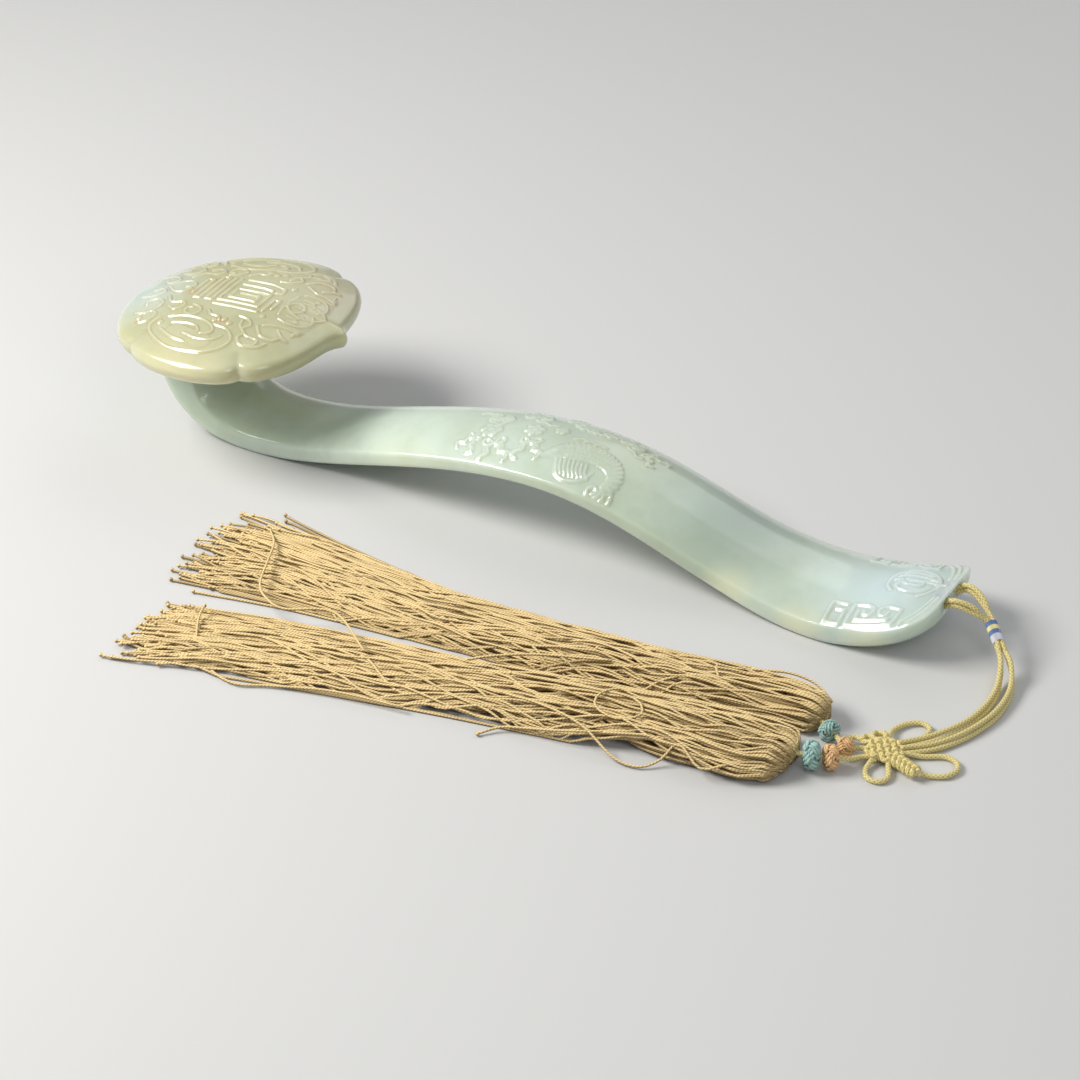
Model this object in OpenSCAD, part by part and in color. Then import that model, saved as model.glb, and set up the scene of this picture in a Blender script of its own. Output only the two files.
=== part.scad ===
// Jade ruyi scepter with a silk cord, a flower knot, four button knots and two tassels.
// Millimetres. +X runs from the cloud-shaped head to the tip of the handle, +Z is up, and the
// scepter rests on z = 0 at two places, under the left bend and under the wide tail end.
// -Y is the side on which the tassels are laid out.

/* [Head] */
// Height of the rounded rim's lower face above the table
head_bottom = 48.4; // [46:0.2:50]
// Thickness of the rim from its lower to its upper shoulder
head_rim_h = 9; // [8:0.5:12]
// Rise of the low dome above the rim
head_dome_h = 9; // [6:0.5:11]
// Depth of the two pairs of notches between the lobes
head_notch = 3.5; // [1:0.25:4]
// Slope of the head, which rises towards the handle, in degrees
head_tilt = 2.9; // [1:0.1:4]
// Turn of the head seen from above, in degrees
head_yaw = 4.5; // [0:0.5:5]

/* [Handle] */
// Half width of the handle along the arch
handle_half_w = 25.2; // [24:0.1:27]
// Half width of the tail end
tail_half_w = 29; // [28:0.5:31]
// Height of the near-vertical side band at the middle of the arch
band_h = 5.3; // [4.6:0.1:6]
// Rise of the convex top above the side band
crown_h = 7.5; // [5.5:0.25:8]
// Height of the arch's underside above the table
arch_h = 28.3; // [25:0.1:29]

/* [Cord holes] */
// Diameter of the cord's tunnel in the tail end
hole_d = 5; // [4.8:0.1:5.4]
// Distance between the centres of the tunnel's two mouths in the end face
hole_gap = 12.4; // [11:0.1:13]

/* [Cord] */
// Diameter of the braided silk cord
cord_d = 2.2; // [2:0.1:2.2]
// Outer diameter of the thread binding where the four strands meet
binding_d = 6.6; // [6.4:0.1:7]

/* [Tassels] */
// Height of the bundled strings near the tassel's head
tassel_h = 12; // [10:0.5:14]
// Height of the bundled strings near their loose ends
tassel_tip_h = 5; // [4:0.5:7]

/* [Hidden] */

jade_cream = "#d9d6b4";
jade_celadon = "#c3cdbb";
silk_yellow = "#e0c87a";
silk_tan = "#cfae74";
silk_blue = "#5f7fb4";
silk_white = "#dcdce4";
silk_teal = "#6f9690";
silk_peach = "#cf9468";

// The shapes are drawn from the crest of the arch, and this moves the origin under their middle
to_origin = [7.6, 1.8, 0];

// Shared helpers

function lerp(a, b, t) = a + (b - a) * t;
function smooth(t) = let (c = max(0, min(1, t))) c * c * (3 - 2 * c);
function unit(v) = v / norm(v);
function bezier(p, t) =
    pow(1 - t, 3) * p[0] + 3 * t * pow(1 - t, 2) * p[1] + 3 * t * t * (1 - t) * p[2] + pow(t, 3) * p[3];
function bezier_dir(p, t) =
    unit(pow(1 - t, 2) * (p[1] - p[0]) + 2 * t * (1 - t) * (p[2] - p[1]) + t * t * (p[3] - p[2]));

// Quads between rings of equal length, with a fan at each end
function loft_faces(rings, size) = concat(
    [[for (k = [0 : size - 1]) k]],
    [for (r = [0 : rings - 2], k = [0 : size - 1])
        let (n = (k + 1) % size)
        [r * size + k, (r + 1) * size + k, (r + 1) * size + n, r * size + n]],
    [[for (k = [size - 1 : -1 : 0]) (rings - 1) * size + k]]
);
function flat(rings) = [for (ring = rings) each ring];

module loft(rings) {
    polyhedron(flat(rings), loft_faces(len(rings), len(rings[0])), convexity = 8);
}

// Head: one outline in polar form round its own centre, lofted into a cushion with a low dome.
// The outline is a circle with four even waves, two pairs of notches and one cusp

head_centre = [-153.6, -2];
head_steps = 96;
inner_notch_angle = 61;
outer_notch_angle = 125;
notch_spread = 4.5;
cusp_rise = 5;
cusp_spread = 6;

// How deep the outer pair of notches is beside the inner pair
outer_notch_share = 0.6;

function notch(a, at) = exp(-abs(abs(a) - at) / notch_spread);
function head_radius(a) =
    54.3 - 1.7 * cos(a) - 2.4 * cos(2 * a) - 1.5 * cos(3 * a) - 0.8 * cos(4 * a)
    - head_notch * notch(a, inner_notch_angle)
    - outer_notch_share * head_notch * notch(a, outer_notch_angle)
    + cusp_rise * exp(-abs(a) / cusp_spread);
function head_ring(scale_out, z) = [
    for (k = [0 : head_steps - 1])
        let (a = k * 360 / head_steps, turn = a > 180 ? a - 360 : a)
        [head_centre.x + scale_out * head_radius(turn) * cos(a),
         head_centre.y + scale_out * head_radius(turn) * sin(a), z]
];
module turned() {
    translate([head_centre.x, head_centre.y, 0])
    rotate(head_yaw)
    translate([-head_centre.x, -head_centre.y, 0])
    children();
}

rim_z = head_bottom;
dome_z = head_bottom + head_rim_h;

// The head and the face it sits on lean together
module leaning() {
    translate([head_centre.x, 0, rim_z])
    rotate([0, -head_tilt, 0])
    translate([-head_centre.x, 0, -rim_z])
    children();
}

module head() {
    // Each pair is the share of the outline's radius and the height of one ring
    rings = [
        [0.80, rim_z + 1.5], [0.90, rim_z], [0.965, rim_z + 1.2], [1, rim_z + 4.6],
        [0.99, rim_z + 7.6], [0.955, dome_z], [0.90, dome_z + head_dome_h * 0.22],
        [0.80, dome_z + head_dome_h * 0.45], [0.65, dome_z + head_dome_h * 0.68],
        [0.45, dome_z + head_dome_h * 0.87], [0.22, dome_z + head_dome_h * 0.97],
        [0.05, dome_z + head_dome_h]
    ];
    color(jade_cream)
    translate(to_origin)
    leaning() turned()
    loft([for (r = rings) head_ring(r[0], r[1])]);
}

// Handle: a side curve of four joined arcs, with one cross-section that changes along it

seat_z = rim_z + 1.5;
side_curve = [
    [[-189, 50], [-189, 16], [-172, -0.4], [-140, -0.4]],
    [[-140, -0.4], [-92, -0.4], [-45, arch_h], [8, arch_h]],
    [[8, arch_h], [60, arch_h], [90, 0.4], [140, -0.4]],
    [[140, -0.4], [160, -0.6], [178, 3], [192.8, 15]]
];
// Where the end faces stop leaning with the curve and stand upright
upright_from = 145;
upright_to = 185;
// The outline's corners are a part of a squared oval that would close at tail_end_x; the flat
// end face cuts it off just before
tail_start_x = 155;
tail_end_x = 193.6;
tail_power = 4;
neck_half_w = 21.5;
neck_x = -110;
// Where the handle starts to widen to the tail, and the length over which it does so
widening_x = 90;
widening_run = 60;
edge_w = 0.6;
// The crown sinks to this share of its height just before the end face
tip_crown_share = 0.2;
sinking_x = 170;
sinking_run = 22;
band_growth = 0.022;
neck_band_rise = 8;
neck_crown_rise = 2;
crown_power = 2.2;
// How far the lower corners reach in across the bottom and up the side
corner_run = 2.4;
corner_rise = 2.2;

function tail_share(x) =
    x < tail_start_x ? 1
    : pow(max(0, 1 - pow((x - tail_start_x) / (tail_end_x - tail_start_x), tail_power)), 1 / tail_power);
function half_width(x) =
    (lerp(neck_half_w, handle_half_w, smooth(1 - x / neck_x))
    + (tail_half_w - handle_half_w) * smooth((x - widening_x) / widening_run)) * tail_share(x)
    + edge_w;
// The band is deeper in the neck, where s runs from 0 at the head to 1 at the bend
function band(x, s) = band_h + band_growth * abs(x) + neck_band_rise * (1 - smooth(s));
function crown(x, s) =
    crown_h * lerp(1, tip_crown_share, smooth((x - sinking_x) / sinking_run))
    + neck_crown_rise * (1 - smooth(s));

crown_steps = 12;
// soft is how far the lower corners are rounded away
function section(w, t, c, soft) =
    let (edge = min(corner_run * soft, 0.4 * w), corner = edge / 3, low = corner_rise * soft)
    concat(
        [[-w + edge, 0], [w - edge, 0], [w - corner, 0.27 * low], [w, low], [w, t - 1]],
        [for (k = [0 : crown_steps])
            let (u = (w - corner / 2) * cos(180 * k / crown_steps))
            [u, t + c * (1 - pow(abs(u) / w, crown_power))]],
        [[-w, t - 1], [-w, low], [-w + corner, 0.27 * low]]
    );
function station(arc, s) =
    let (p = bezier(side_curve[arc], s), d = bezier_dir(side_curve[arc], s),
         neck = arc == 0 ? s : 1,
         stand = smooth((p[0] - upright_from) / (upright_to - upright_from)),
         up = unit(lerp([-d[1], d[0]], [0, 1], stand)))
    [for (q = section(half_width(p[0]), band(p[0], neck), crown(p[0], neck), 1 + 2 * stand))
        [p[0] + up[0] * q[1], q[0], p[1] + up[1] * q[1]]];

tail_stops = [0.1, 0.25, 0.4, 0.52, 0.63, 0.72, 0.8, 0.87, 0.92, 0.96, 0.985, 1];

// The cord's tunnel: two bores slant in from the end face and meet inside the tail
tunnel_mouth = [193, hole_gap / 2, 21];
tunnel_turn = [184.8, 1.4, 16.2];
module bore(from, to) {
    way = to - from;
    translate(from)
    rotate([0, acos(way.z / norm(way)), atan2(way.y, way.x)])
    cylinder(d = hole_d, h = norm(way), $fn = 48);
}
module tunnel() {
    outward = unit(tunnel_mouth - tunnel_turn);
    for (side = [0, 1])
        mirror([0, side, 0])
        bore(tunnel_turn - 0.6 * outward, tunnel_mouth + 3 * outward);
    bore([tunnel_turn.x, -2.6, tunnel_turn.z], [tunnel_turn.x, 2.6, tunnel_turn.z]);
}

module shaft() {
    rings = concat(
        [for (k = [0 : 10]) station(0, k / 10)],
        [for (k = [1 : 12]) station(1, k / 12)],
        [for (k = [1 : 12]) station(2, k / 12)],
        [for (s = tail_stops) station(3, s)]
    );
    color(jade_celadon)
    translate(to_origin)
    difference() {
        loft(rings);
        tunnel();
        // Ground flats where the handle rests, and the flat seat of the head
        translate([-210, -60, -20]) cube([420, 120, 20]);
        leaning() translate([-210, -60, seat_z]) cube([60, 120, 20]);
    }
}

// Cords: one tube with eight sides, swept along points chosen by hand

cord_sides = 8;
function cord_dir(points, k) =
    unit(points[min(k + 1, len(points) - 1)] - points[max(k - 1, 0)]);
// The side of each ring is carried on from the ring before, so that the tube never twists
function cord_side(points, k) =
    let (d = cord_dir(points, k),
         before = k > 0 ? cord_side(points, k - 1) : abs(d.x) > 0.9 ? [0, 1, 0] : [1, 0, 0])
    unit(before - (before * d) * d);
function cord_frame(points, k) =
    let (side = cord_side(points, k))
    [side, cross(side, cord_dir(points, k))];
function cord_ring(points, k) =
    let (f = cord_frame(points, k))
    [for (j = [0 : cord_sides - 1])
        points[k] + cord_d / 2 * (cos(j * 360 / cord_sides + 22.5) * f[0]
                                + sin(j * 360 / cord_sides + 22.5) * f[1])];

module cord(points) {
    color(silk_yellow)
    translate(to_origin)
    loft([for (k = [0 : len(points) - 1]) cord_ring(points, k)]);
}

// Two strands leave each mouth of the tunnel; inside it they meet the pair from the other mouth
strand_gap = 1.15;
binding_at = [214, -5, 13];
binding_dir = unit([2, -2, -1]);
binding_side = unit([1, 1, 0]);
binding_up = cross(binding_side, binding_dir);

// The laid part of each pair of strands, from the binding to the flower knot
inner_run = [
    [218.5, -10, 10.5], [221.5, -15, 6], [224.5, -23, 2.2], [226.5, -33, 1.2], [226.5, -45, 1.2],
    [224.5, -55, 1.2], [220.5, -64, 1.2], [215.5, -72.5, 1.6], [209, -82.5, 2.8]
];
outer_run = [
    [220, -8.5, 10.5], [224.8, -13.3, 6], [229.2, -21, 2.2], [231.6, -31, 1.2], [231.8, -44, 1.2],
    [229.2, -56, 1.2], [225.5, -65.5, 1.2], [219.5, -75.5, 1.6], [211.5, -85, 2.8]
];
// How far each pair is turned from standing on edge to lying flat along its run
run_turn = [90, 60, 20, 0, 0, 0, 0, 20, 60];

function run_side(run, k) =
    let (n = len(run), d = run[min(k + 1, n - 1)] - run[max(k - 1, 0)])
    unit([d.y, -d.x, 0]);
function laid(run, k, side) =
    run[k] + side * strand_gap * (cos(run_turn[k]) * run_side(run, k) + sin(run_turn[k]) * [0, 0, 1]);
// The arc that each pair draws between its mouth and the bindings, and its ends beside the turn
over_arc = [[198, 6.3, 22.3], [204.5, 4.1, 19.6]];
// front is -1 for the mouth nearer -Y, row is -1 or 1 for the strand's place in its pair
function strand(front, row, run) = concat(
    [for (p = concat([[tunnel_turn.x, 0, tunnel_turn.z], tunnel_turn, tunnel_mouth], over_arc))
        [p.x, front * p.y, p.z + row * strand_gap]],
    [for (along = [-5, 5])
        binding_at + along * binding_dir + strand_gap * (row * binding_up + front * binding_side)],
    [for (k = [1 : len(run) - 1]) laid(run, k, row)]
);

module strand_front_inner() { cord(strand(-1, -1, inner_run)); }
module strand_front_outer() { cord(strand(-1, 1, inner_run)); }
module strand_back_inner() { cord(strand(1, -1, outer_run)); }
module strand_back_outer() { cord(strand(1, 1, outer_run)); }

// Thread bindings: four sleeves in a row round the four strands

bundle_d = 5.7;
module binding(from, length, tint) {
    yaw = atan2(binding_dir.y, binding_dir.x);
    pitch = acos(binding_dir.z);
    color(tint)
    translate(to_origin + binding_at + from * binding_dir)
    rotate([0, pitch, yaw])
    difference() {
        cylinder(d = binding_d, h = length, $fn = 48);
        translate([0, 0, -1]) cylinder(d = bundle_d, h = length + 2, $fn = 48);
    }
}
module binding_upper_blue() { binding(-5, 2.2, silk_blue); }
module binding_gold() { binding(-2.8, 2.2, silk_yellow); }
module binding_lower_blue() { binding(-0.6, 2.2, silk_blue); }
module binding_white() { binding(1.6, 3.4, silk_white); }

// Flower knot: a plain pad with two short arms, and loops of the same cord round it

knot_h = 6;
module flower_knot() {
    color(silk_yellow)
    translate(to_origin) {
        translate([205, -88, 0]) cylinder(r = 8.5, h = knot_h, $fn = 48);
        translate([199.5, -80.5, 0]) cylinder(r = 5, h = knot_h, $fn = 48);
        translate([216, -93, 0]) rotate(-20) translate([-7, -4.5, 0]) cube([14, 9, knot_h]);
    }
}
upper_loop = [
    [203, -79, 3], [201.5, -72, 1.5], [204, -65, 1.2], [209, -61.5, 1.2],
    [213.5, -63.5, 1.2], [213.5, -70, 1.2], [209, -79, 2.6]
];
lower_loop = [
    [212.5, -85, 2.6], [219, -81.5, 1.2], [226, -77.5, 1.2], [231.5, -78.5, 1.2],
    [234, -83, 1.2], [232, -88.5, 1.2], [227, -91.5, 1.2], [221.5, -93.5, 2]
];
small_loop = [
    [203.5, -95.5, 2], [204, -100.5, 1.2], [207, -105, 1.2],
    [211.5, -105, 1.2], [213.5, -101, 1.2], [210.5, -95, 2]
];
module knot_loop_upper() { cord(upper_loop); }
module knot_loop_lower() { cord(lower_loop); }
module knot_loop_small() { cord(small_loop); }

// Hangers: the two cord ends that carry the button knots and the tassels

hanger_front_run = [
    [198.3, -96.3, 2.6], [196.8, -100, 3.4], [194.6, -103.2, 5], [192.3, -104.8, 5.6],
    [188.4, -107, 6], [184.5, -109, 6.4], [177, -110.5, 6], [167, -112, 6]
];
hanger_back_run = [
    [195.6, -92.4, 3.4], [192.5, -95, 4], [188.5, -92.5, 4.3], [184, -89, 4.7],
    [178, -86, 5], [167, -83, 5.5]
];
hanger_loop_run = [[195.3, -86, 3.2], [191.5, -85.5, 3], [189.5, -88.5, 2.8], [190.5, -92, 3.4]];
module hanger_front() { cord(hanger_front_run); }
module hanger_back() { cord(hanger_back_run); }
module hanger_back_loop() { cord(hanger_loop_run); }

// Button knots: round barrels threaded on the hangers, each with its cord hole

button_hole_r = cord_d / 2 + 0.4;
module button(at, r, half_w, turn, tint) {
    color(tint)
    translate(to_origin + at)
    rotate([0, 0, turn])
    rotate([0, 90, 0])
    rotate_extrude($fn = 64)
    difference() {
        intersection() {
            circle(r = r, $fn = 64);
            translate([0, -half_w]) square([r + 1, 2 * half_w]);
        }
        translate([-r, -r - 1]) square([r + button_hole_r, 2 * r + 2]);
    }
}
module button_peach_front() { button([192.3, -104.8, 5.6], 5.6, 3.2, 35, silk_peach); }
module button_teal_front() { button([184.5, -109, 6.4], 6.4, 3.4, 25, silk_teal); }
module button_peach_back() { button([192.5, -95, 4], 4, 3.1, 5, silk_peach); }
module button_teal_back() { button([184, -89, 4.7], 4.7, 3.4, -32, silk_teal); }

// Tassels: each bundle of strings as one long mound with a rounded head

mound_steps = 18;
// Each row is the place along X, the middle in Y and the half width
front_rows = [
    [178.2, -111, 5], [176.8, -111.5, 10], [173, -113, 15.5], [165, -114.5, 18.5], [140, -117, 18.5],
    [100, -122.5, 18], [50, -131, 19], [0, -140, 21], [-50, -151, 20], [-95, -165, 15]
];
back_rows = [
    [177.4, -82, 4], [176, -82, 7], [171, -81.5, 10], [161, -81, 12], [140, -83, 13],
    [100, -88, 14.5], [50, -92.5, 17], [0, -96, 19], [-50, -95, 22], [-108, -95, 25]
];
function mound_height(x) = lerp(tassel_tip_h, tassel_h, smooth((x + 100) / 220));
function mound_ring(row) =
    let (end = min(1, row[2] / 12), h = mound_height(row[0]) * (0.45 + 0.55 * end))
    [for (k = [0 : mound_steps - 1])
        let (a = 360 * k / mound_steps, c = cos(a), s = sin(a))
        [row[0],
         row[1] + row[2] * sign(c) * pow(abs(c), 0.8),
         h / 2 + h / 2 * sign(s) * pow(abs(s), 0.7)]];
module mound(rows) {
    color(silk_tan)
    translate(to_origin)
    loft([for (k = [len(rows) - 1 : -1 : 0]) mound_ring(rows[k])]);
}
module tassel_front() { mound(front_rows); }
module tassel_back() { mound(back_rows); }

head();
shaft();
strand_front_inner();
strand_front_outer();
strand_back_inner();
strand_back_outer();
binding_upper_blue();
binding_gold();
binding_lower_blue();
binding_white();
flower_knot();
knot_loop_upper();
knot_loop_lower();
knot_loop_small();
hanger_front();
hanger_back();
hanger_back_loop();
button_peach_front();
button_teal_front();
button_peach_back();
button_teal_back();
tassel_front();
tassel_back();
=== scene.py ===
"""Looks of a jade ruyi scepter with a silk cord, a flower knot, four button knots and two tassels."""

import math

import bpy
import numpy as np
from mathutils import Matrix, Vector


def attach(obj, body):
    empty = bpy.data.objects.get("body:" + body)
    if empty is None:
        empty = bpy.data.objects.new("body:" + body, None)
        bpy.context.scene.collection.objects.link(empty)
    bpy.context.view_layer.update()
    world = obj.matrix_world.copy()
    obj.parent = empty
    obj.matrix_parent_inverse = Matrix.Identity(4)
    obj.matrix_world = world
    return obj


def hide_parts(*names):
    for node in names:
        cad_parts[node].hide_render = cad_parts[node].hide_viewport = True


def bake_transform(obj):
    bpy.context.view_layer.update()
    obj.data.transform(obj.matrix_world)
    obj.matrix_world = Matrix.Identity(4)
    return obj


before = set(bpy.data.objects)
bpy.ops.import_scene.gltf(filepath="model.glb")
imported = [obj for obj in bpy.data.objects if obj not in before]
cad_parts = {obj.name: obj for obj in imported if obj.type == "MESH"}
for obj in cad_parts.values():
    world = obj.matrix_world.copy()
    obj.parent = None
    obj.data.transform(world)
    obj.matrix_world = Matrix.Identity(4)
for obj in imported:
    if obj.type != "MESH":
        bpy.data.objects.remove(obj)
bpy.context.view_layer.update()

bl_info = {
    "name": "Jade Ruyi Scepter",
    "version": (1, 0, 0),
    "blender": (4, 5, 0),
    "location": "View3D > Sidebar > Ruyi",
    "description": "Carved jade, braided cord, woven knots and tassels round a fixed frame",
    "category": "Object",
}

# Routes and shapes below are in millimetres, from a point on the table below the crest
TO_ORIGIN = np.array([7.6, 1.8, 0.0])
MM = 0.001
TAU = 2 * math.pi


# Shared helpers


def to_frame(points):
    """Points in drawing millimetres as points of the frame in metres."""
    return (np.asarray(points, float) + TO_ORIGIN) * MM


def lerp(a, b, t):
    return a + (b - a) * t


def smooth(t):
    t = np.clip(t, 0.0, 1.0)
    return t * t * (3 - 2 * t)


def through(points, step):
    """A smooth curve through given points, sampled about every step."""
    points = np.asarray(points, float)
    ends = np.vstack([2 * points[0] - points[1], points, 2 * points[-1] - points[-2]])
    out = []
    for k in range(1, len(ends) - 2):
        a, b, c, d = ends[k - 1 : k + 3]
        count = max(2, int(np.linalg.norm(c - b) / step) + 1)
        t = np.linspace(0, 1, count, endpoint=False)[:, None]
        square = 2 * a - 5 * b + 4 * c - d
        cube = 3 * b - a - 3 * c + d
        out.append(0.5 * (2 * b + (c - a) * t + square * t**2 + cube * t**3))
    out.append(points[-1:])
    return np.vstack(out)


def run_length(path):
    return float(np.linalg.norm(np.diff(path, axis=0), axis=1).sum())


def deselect():
    bpy.ops.object.select_all(action="DESELECT")


def own_mesh(name, vertices, faces, uvs=None, **values):
    """A smooth mesh object at the origin; values become one number per vertex."""
    mesh = bpy.data.meshes.new(name)
    mesh.from_pydata(np.asarray(vertices).tolist(), [], faces)
    mesh.shade_smooth()
    if uvs is not None:
        layer = mesh.uv_layers.new(name="UVMap")
        layer.data.foreach_set("uv", np.asarray(uvs, np.float32).ravel())
    for key, numbers in values.items():
        attribute = mesh.attributes.new(key, "FLOAT", "POINT")
        attribute.data.foreach_set("value", np.asarray(numbers, np.float32))
    mesh.update()
    piece = bpy.data.objects.new(name, mesh)
    bpy.context.scene.collection.objects.link(piece)
    return piece


# Painted shade: a tube's side is darker once it faces less than SHADE_FROM of straight up
SHADE_FROM = 0.85
SHADE_SPAN = 1.3


def tubes(name, paths, radii, sides, shades=None, middle=None):
    """One mesh of round tubes along paths in metres, with a UV of turns and diameters.

    Each tube has its own painted shade, and painted shade darkens its sides that look down, or towards the
    middle; both go into each point's tint number.
    """
    shades = [0.0] * len(paths) if shades is None else shades
    vertices, faces, uvs, tints = [], [], [], []
    angles = np.linspace(0, TAU, sides, endpoint=False)
    for path, radius, shade in zip(paths, radii, shades):
        path = np.asarray(path, float)
        size = np.broadcast_to(radius, len(path))
        ahead = np.gradient(path, axis=0)
        ahead /= np.linalg.norm(ahead, axis=1)[:, None]
        side = np.cross(ahead[0], [0, 0, 1] if abs(ahead[0][2]) < 0.9 else [1, 0, 0])
        base = len(vertices)
        along = np.concatenate([[0], np.cumsum(np.linalg.norm(np.diff(path, axis=0), axis=1))])
        along /= 2 * size.max()
        for k, point in enumerate(path):
            side = side - ahead[k] * (side @ ahead[k])
            side /= np.linalg.norm(side)
            other = np.cross(ahead[k], side)
            outward = [math.cos(a) * side + math.sin(a) * other for a in angles]
            vertices.extend(point + size[k] * way for way in outward)
            top = np.array([0, 0, 1]) if middle is None else point - middle
            top = top / np.linalg.norm(top)
            painted_side_shade = [float(smooth((SHADE_FROM - way @ top) / SHADE_SPAN)) for way in outward]
            tints.extend(min(1.0, shade + away) for away in painted_side_shade)
        for k in range(len(path) - 1):
            for j in range(sides):
                n = (j + 1) % sides
                a, b = base + k * sides, base + (k + 1) * sides
                faces.append((a + j, a + n, b + n, b + j))
                low, high = j / sides, (j + 1) / sides
                uvs.extend([(low, along[k]), (high, along[k]), (high, along[k + 1]), (low, along[k + 1])])
        for k, turn in ((0, -1), (len(path) - 1, 1)):
            tip = len(vertices)
            vertices.append(path[k] + turn * 0.4 * size[k] * ahead[k])
            tints.append(shade)
            ring = base + k * sides
            for j in range(sides):
                n = (j + 1) % sides
                faces.append((tip, ring + j, ring + n) if turn > 0 else (tip, ring + n, ring + j))
                uvs.extend([(j / sides, along[k])] * 3)
    return own_mesh(name, vertices, faces, uvs, tint=tints)


def coat(piece, material):
    """Gives the piece its only material."""
    piece.data.materials.clear()
    piece.data.materials.append(material)


# Materials: sockets that can be used in sums


class Term:
    """A shader value that Python arithmetic turns into Math nodes."""

    def __init__(self, shader, socket):
        self.shader = shader
        self.socket = socket

    def math(self, operation, a, b=0.0):
        return self.shader.node("ShaderNodeMath", {0: a, 1: b}, operation=operation)

    def __add__(self, other):
        return self.math("ADD", self, other)

    def __radd__(self, other):
        return self.math("ADD", other, self)

    def __sub__(self, other):
        return self.math("SUBTRACT", self, other)

    def __rsub__(self, other):
        return self.math("SUBTRACT", other, self)

    def __mul__(self, other):
        return self.math("MULTIPLY", self, other)

    def __rmul__(self, other):
        return self.math("MULTIPLY", other, self)

    def __abs__(self):
        return self.math("ABSOLUTE", self)

    def sine(self):
        return self.math("SINE", self)

    def larger(self, other):
        return self.math("MAXIMUM", self, other)

    def smaller(self, other):
        return self.math("MINIMUM", self, other)


class Shader:
    """A material's node tree round one Principled BSDF."""

    def __init__(self, name):
        self.material = bpy.data.materials.new(name)
        self.material.use_nodes = True
        self.tree = self.material.node_tree
        self.tree.nodes.clear()
        output = self.tree.nodes.new("ShaderNodeOutputMaterial")
        self.surface = self.tree.nodes.new("ShaderNodeBsdfPrincipled")
        self.tree.links.new(self.surface.outputs[0], output.inputs["Surface"])

    def feed(self, node, key, value):
        if isinstance(value, Term):
            self.tree.links.new(value.socket, node.inputs[key])
        else:
            node.inputs[key].default_value = value

    def node(self, kind, inputs=None, out=0, **settings):
        made = self.tree.nodes.new(kind)
        for key, value in settings.items():
            setattr(made, key, value)
        for key, value in (inputs or {}).items():
            self.feed(made, key, value)
        return Term(self, made.outputs[out])

    def set(self, **inputs):
        for key, value in inputs.items():
            self.feed(self.surface, key.replace("_", " "), value)

    def place(self):
        return self.node("ShaderNodeTexCoord", out="Object")

    def uv(self):
        split = self.node("ShaderNodeSeparateXYZ", {"Vector": self.node("ShaderNodeTexCoord", out="UV")})
        across = split
        along = Term(self, split.socket.node.outputs[1])
        return across, along

    def own(self, name):
        return self.node("ShaderNodeAttribute", out="Fac", attribute_name=name)

    def gap(self, middle):
        """Distance from the object's own place to a fixed point."""
        inputs = {0: self.place(), 1: tuple(float(c) for c in middle)}
        return self.node("ShaderNodeVectorMath", inputs, out=1, operation="DISTANCE")

    def noise(self, scale, detail=3.0, rough=0.5, where=None):
        inputs = {"Vector": where or self.place(), "Scale": scale, "Detail": detail, "Roughness": rough}
        return self.node("ShaderNodeTexNoise", inputs)

    def ramp(self, value, low, high):
        inputs = {"Value": value, "From Min": low, "From Max": high}
        return self.node("ShaderNodeMapRange", inputs, clamp=True)

    def mix(self, factor, first, second):
        made = self.tree.nodes.new("ShaderNodeMix")
        made.data_type = "RGBA"
        self.feed(made, "Factor", factor)
        self.feed(made, 6, first)
        self.feed(made, 7, second)
        return Term(self, made.outputs[2])

    def bump(self, height, distance, strength=1.0):
        inputs = {"Height": height, "Distance": distance, "Strength": strength}
        return self.node("ShaderNodeBump", inputs)


def rgba(colour, share=1.0):
    return (colour[0] * share, colour[1] * share, colour[2] * share, 1.0)


def jade(name, pale, deep, warm, blush, zones):
    """Polished nephrite: cloudy depth, tinted zones, some of which are painted highlights, painted shade and
    a painted glow, and a warm stain left in the carved lines.

    Each zone is a middle in drawing millimetres, a radius in millimetres, a colour and a strength.
    """
    shader = Shader(name)
    cloud = shader.ramp(shader.noise(16.0, 4.0, 0.55), 0.38, 0.68)
    fleck = shader.ramp(shader.noise(95.0, 5.0, 0.6), 0.5, 0.75)
    vein = shader.ramp(abs(shader.noise(24.0, 3.0, 0.5) - 0.5), 0.03, 0.0)
    body = shader.mix(cloud * 0.75, rgba(pale), rgba(deep))
    body = shader.mix(fleck * 0.22, body, rgba(deep, 0.86))
    body = shader.mix(vein * 0.1, body, rgba(pale, 1.12))
    ragged = shader.noise(22.0, 4.0, 0.6)
    for middle, radius, tint, strength in zones:
        gap = shader.gap(to_frame(middle))
        share = shader.ramp(gap + (ragged - 0.5) * (radius * 0.8 * MM), radius * MM, 0.15 * radius * MM)
        body = shader.mix(share * strength, body, rgba(tint))
    carved = shader.own("carved")
    stain = shader.ramp(shader.noise(60.0, 3.0, 0.6), 0.35, 0.7)
    body = shader.mix((carved * (0.25 + stain * 0.75) * blush).smaller(1.0), body, rgba(warm))
    fine = shader.noise(700.0, 2.0, 0.5)
    wear = shader.noise(140.0, 4.0, 0.6)
    shader.set(
        Base_Color=body,
        Roughness=0.1 + wear * 0.14 + carved * 0.05,
        Normal=shader.bump(fine * 0.4 + wear, 0.00005, 0.6),
        Subsurface_Weight=0.8,
        Subsurface_Radius=(1.0, 0.95, 0.7),
        Subsurface_Scale=0.011,
        IOR=1.55,
        Specular_IOR_Level=0.5,
        Coat_Weight=0.35,
        Coat_Roughness=0.04,
    )
    return shader.material


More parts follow.
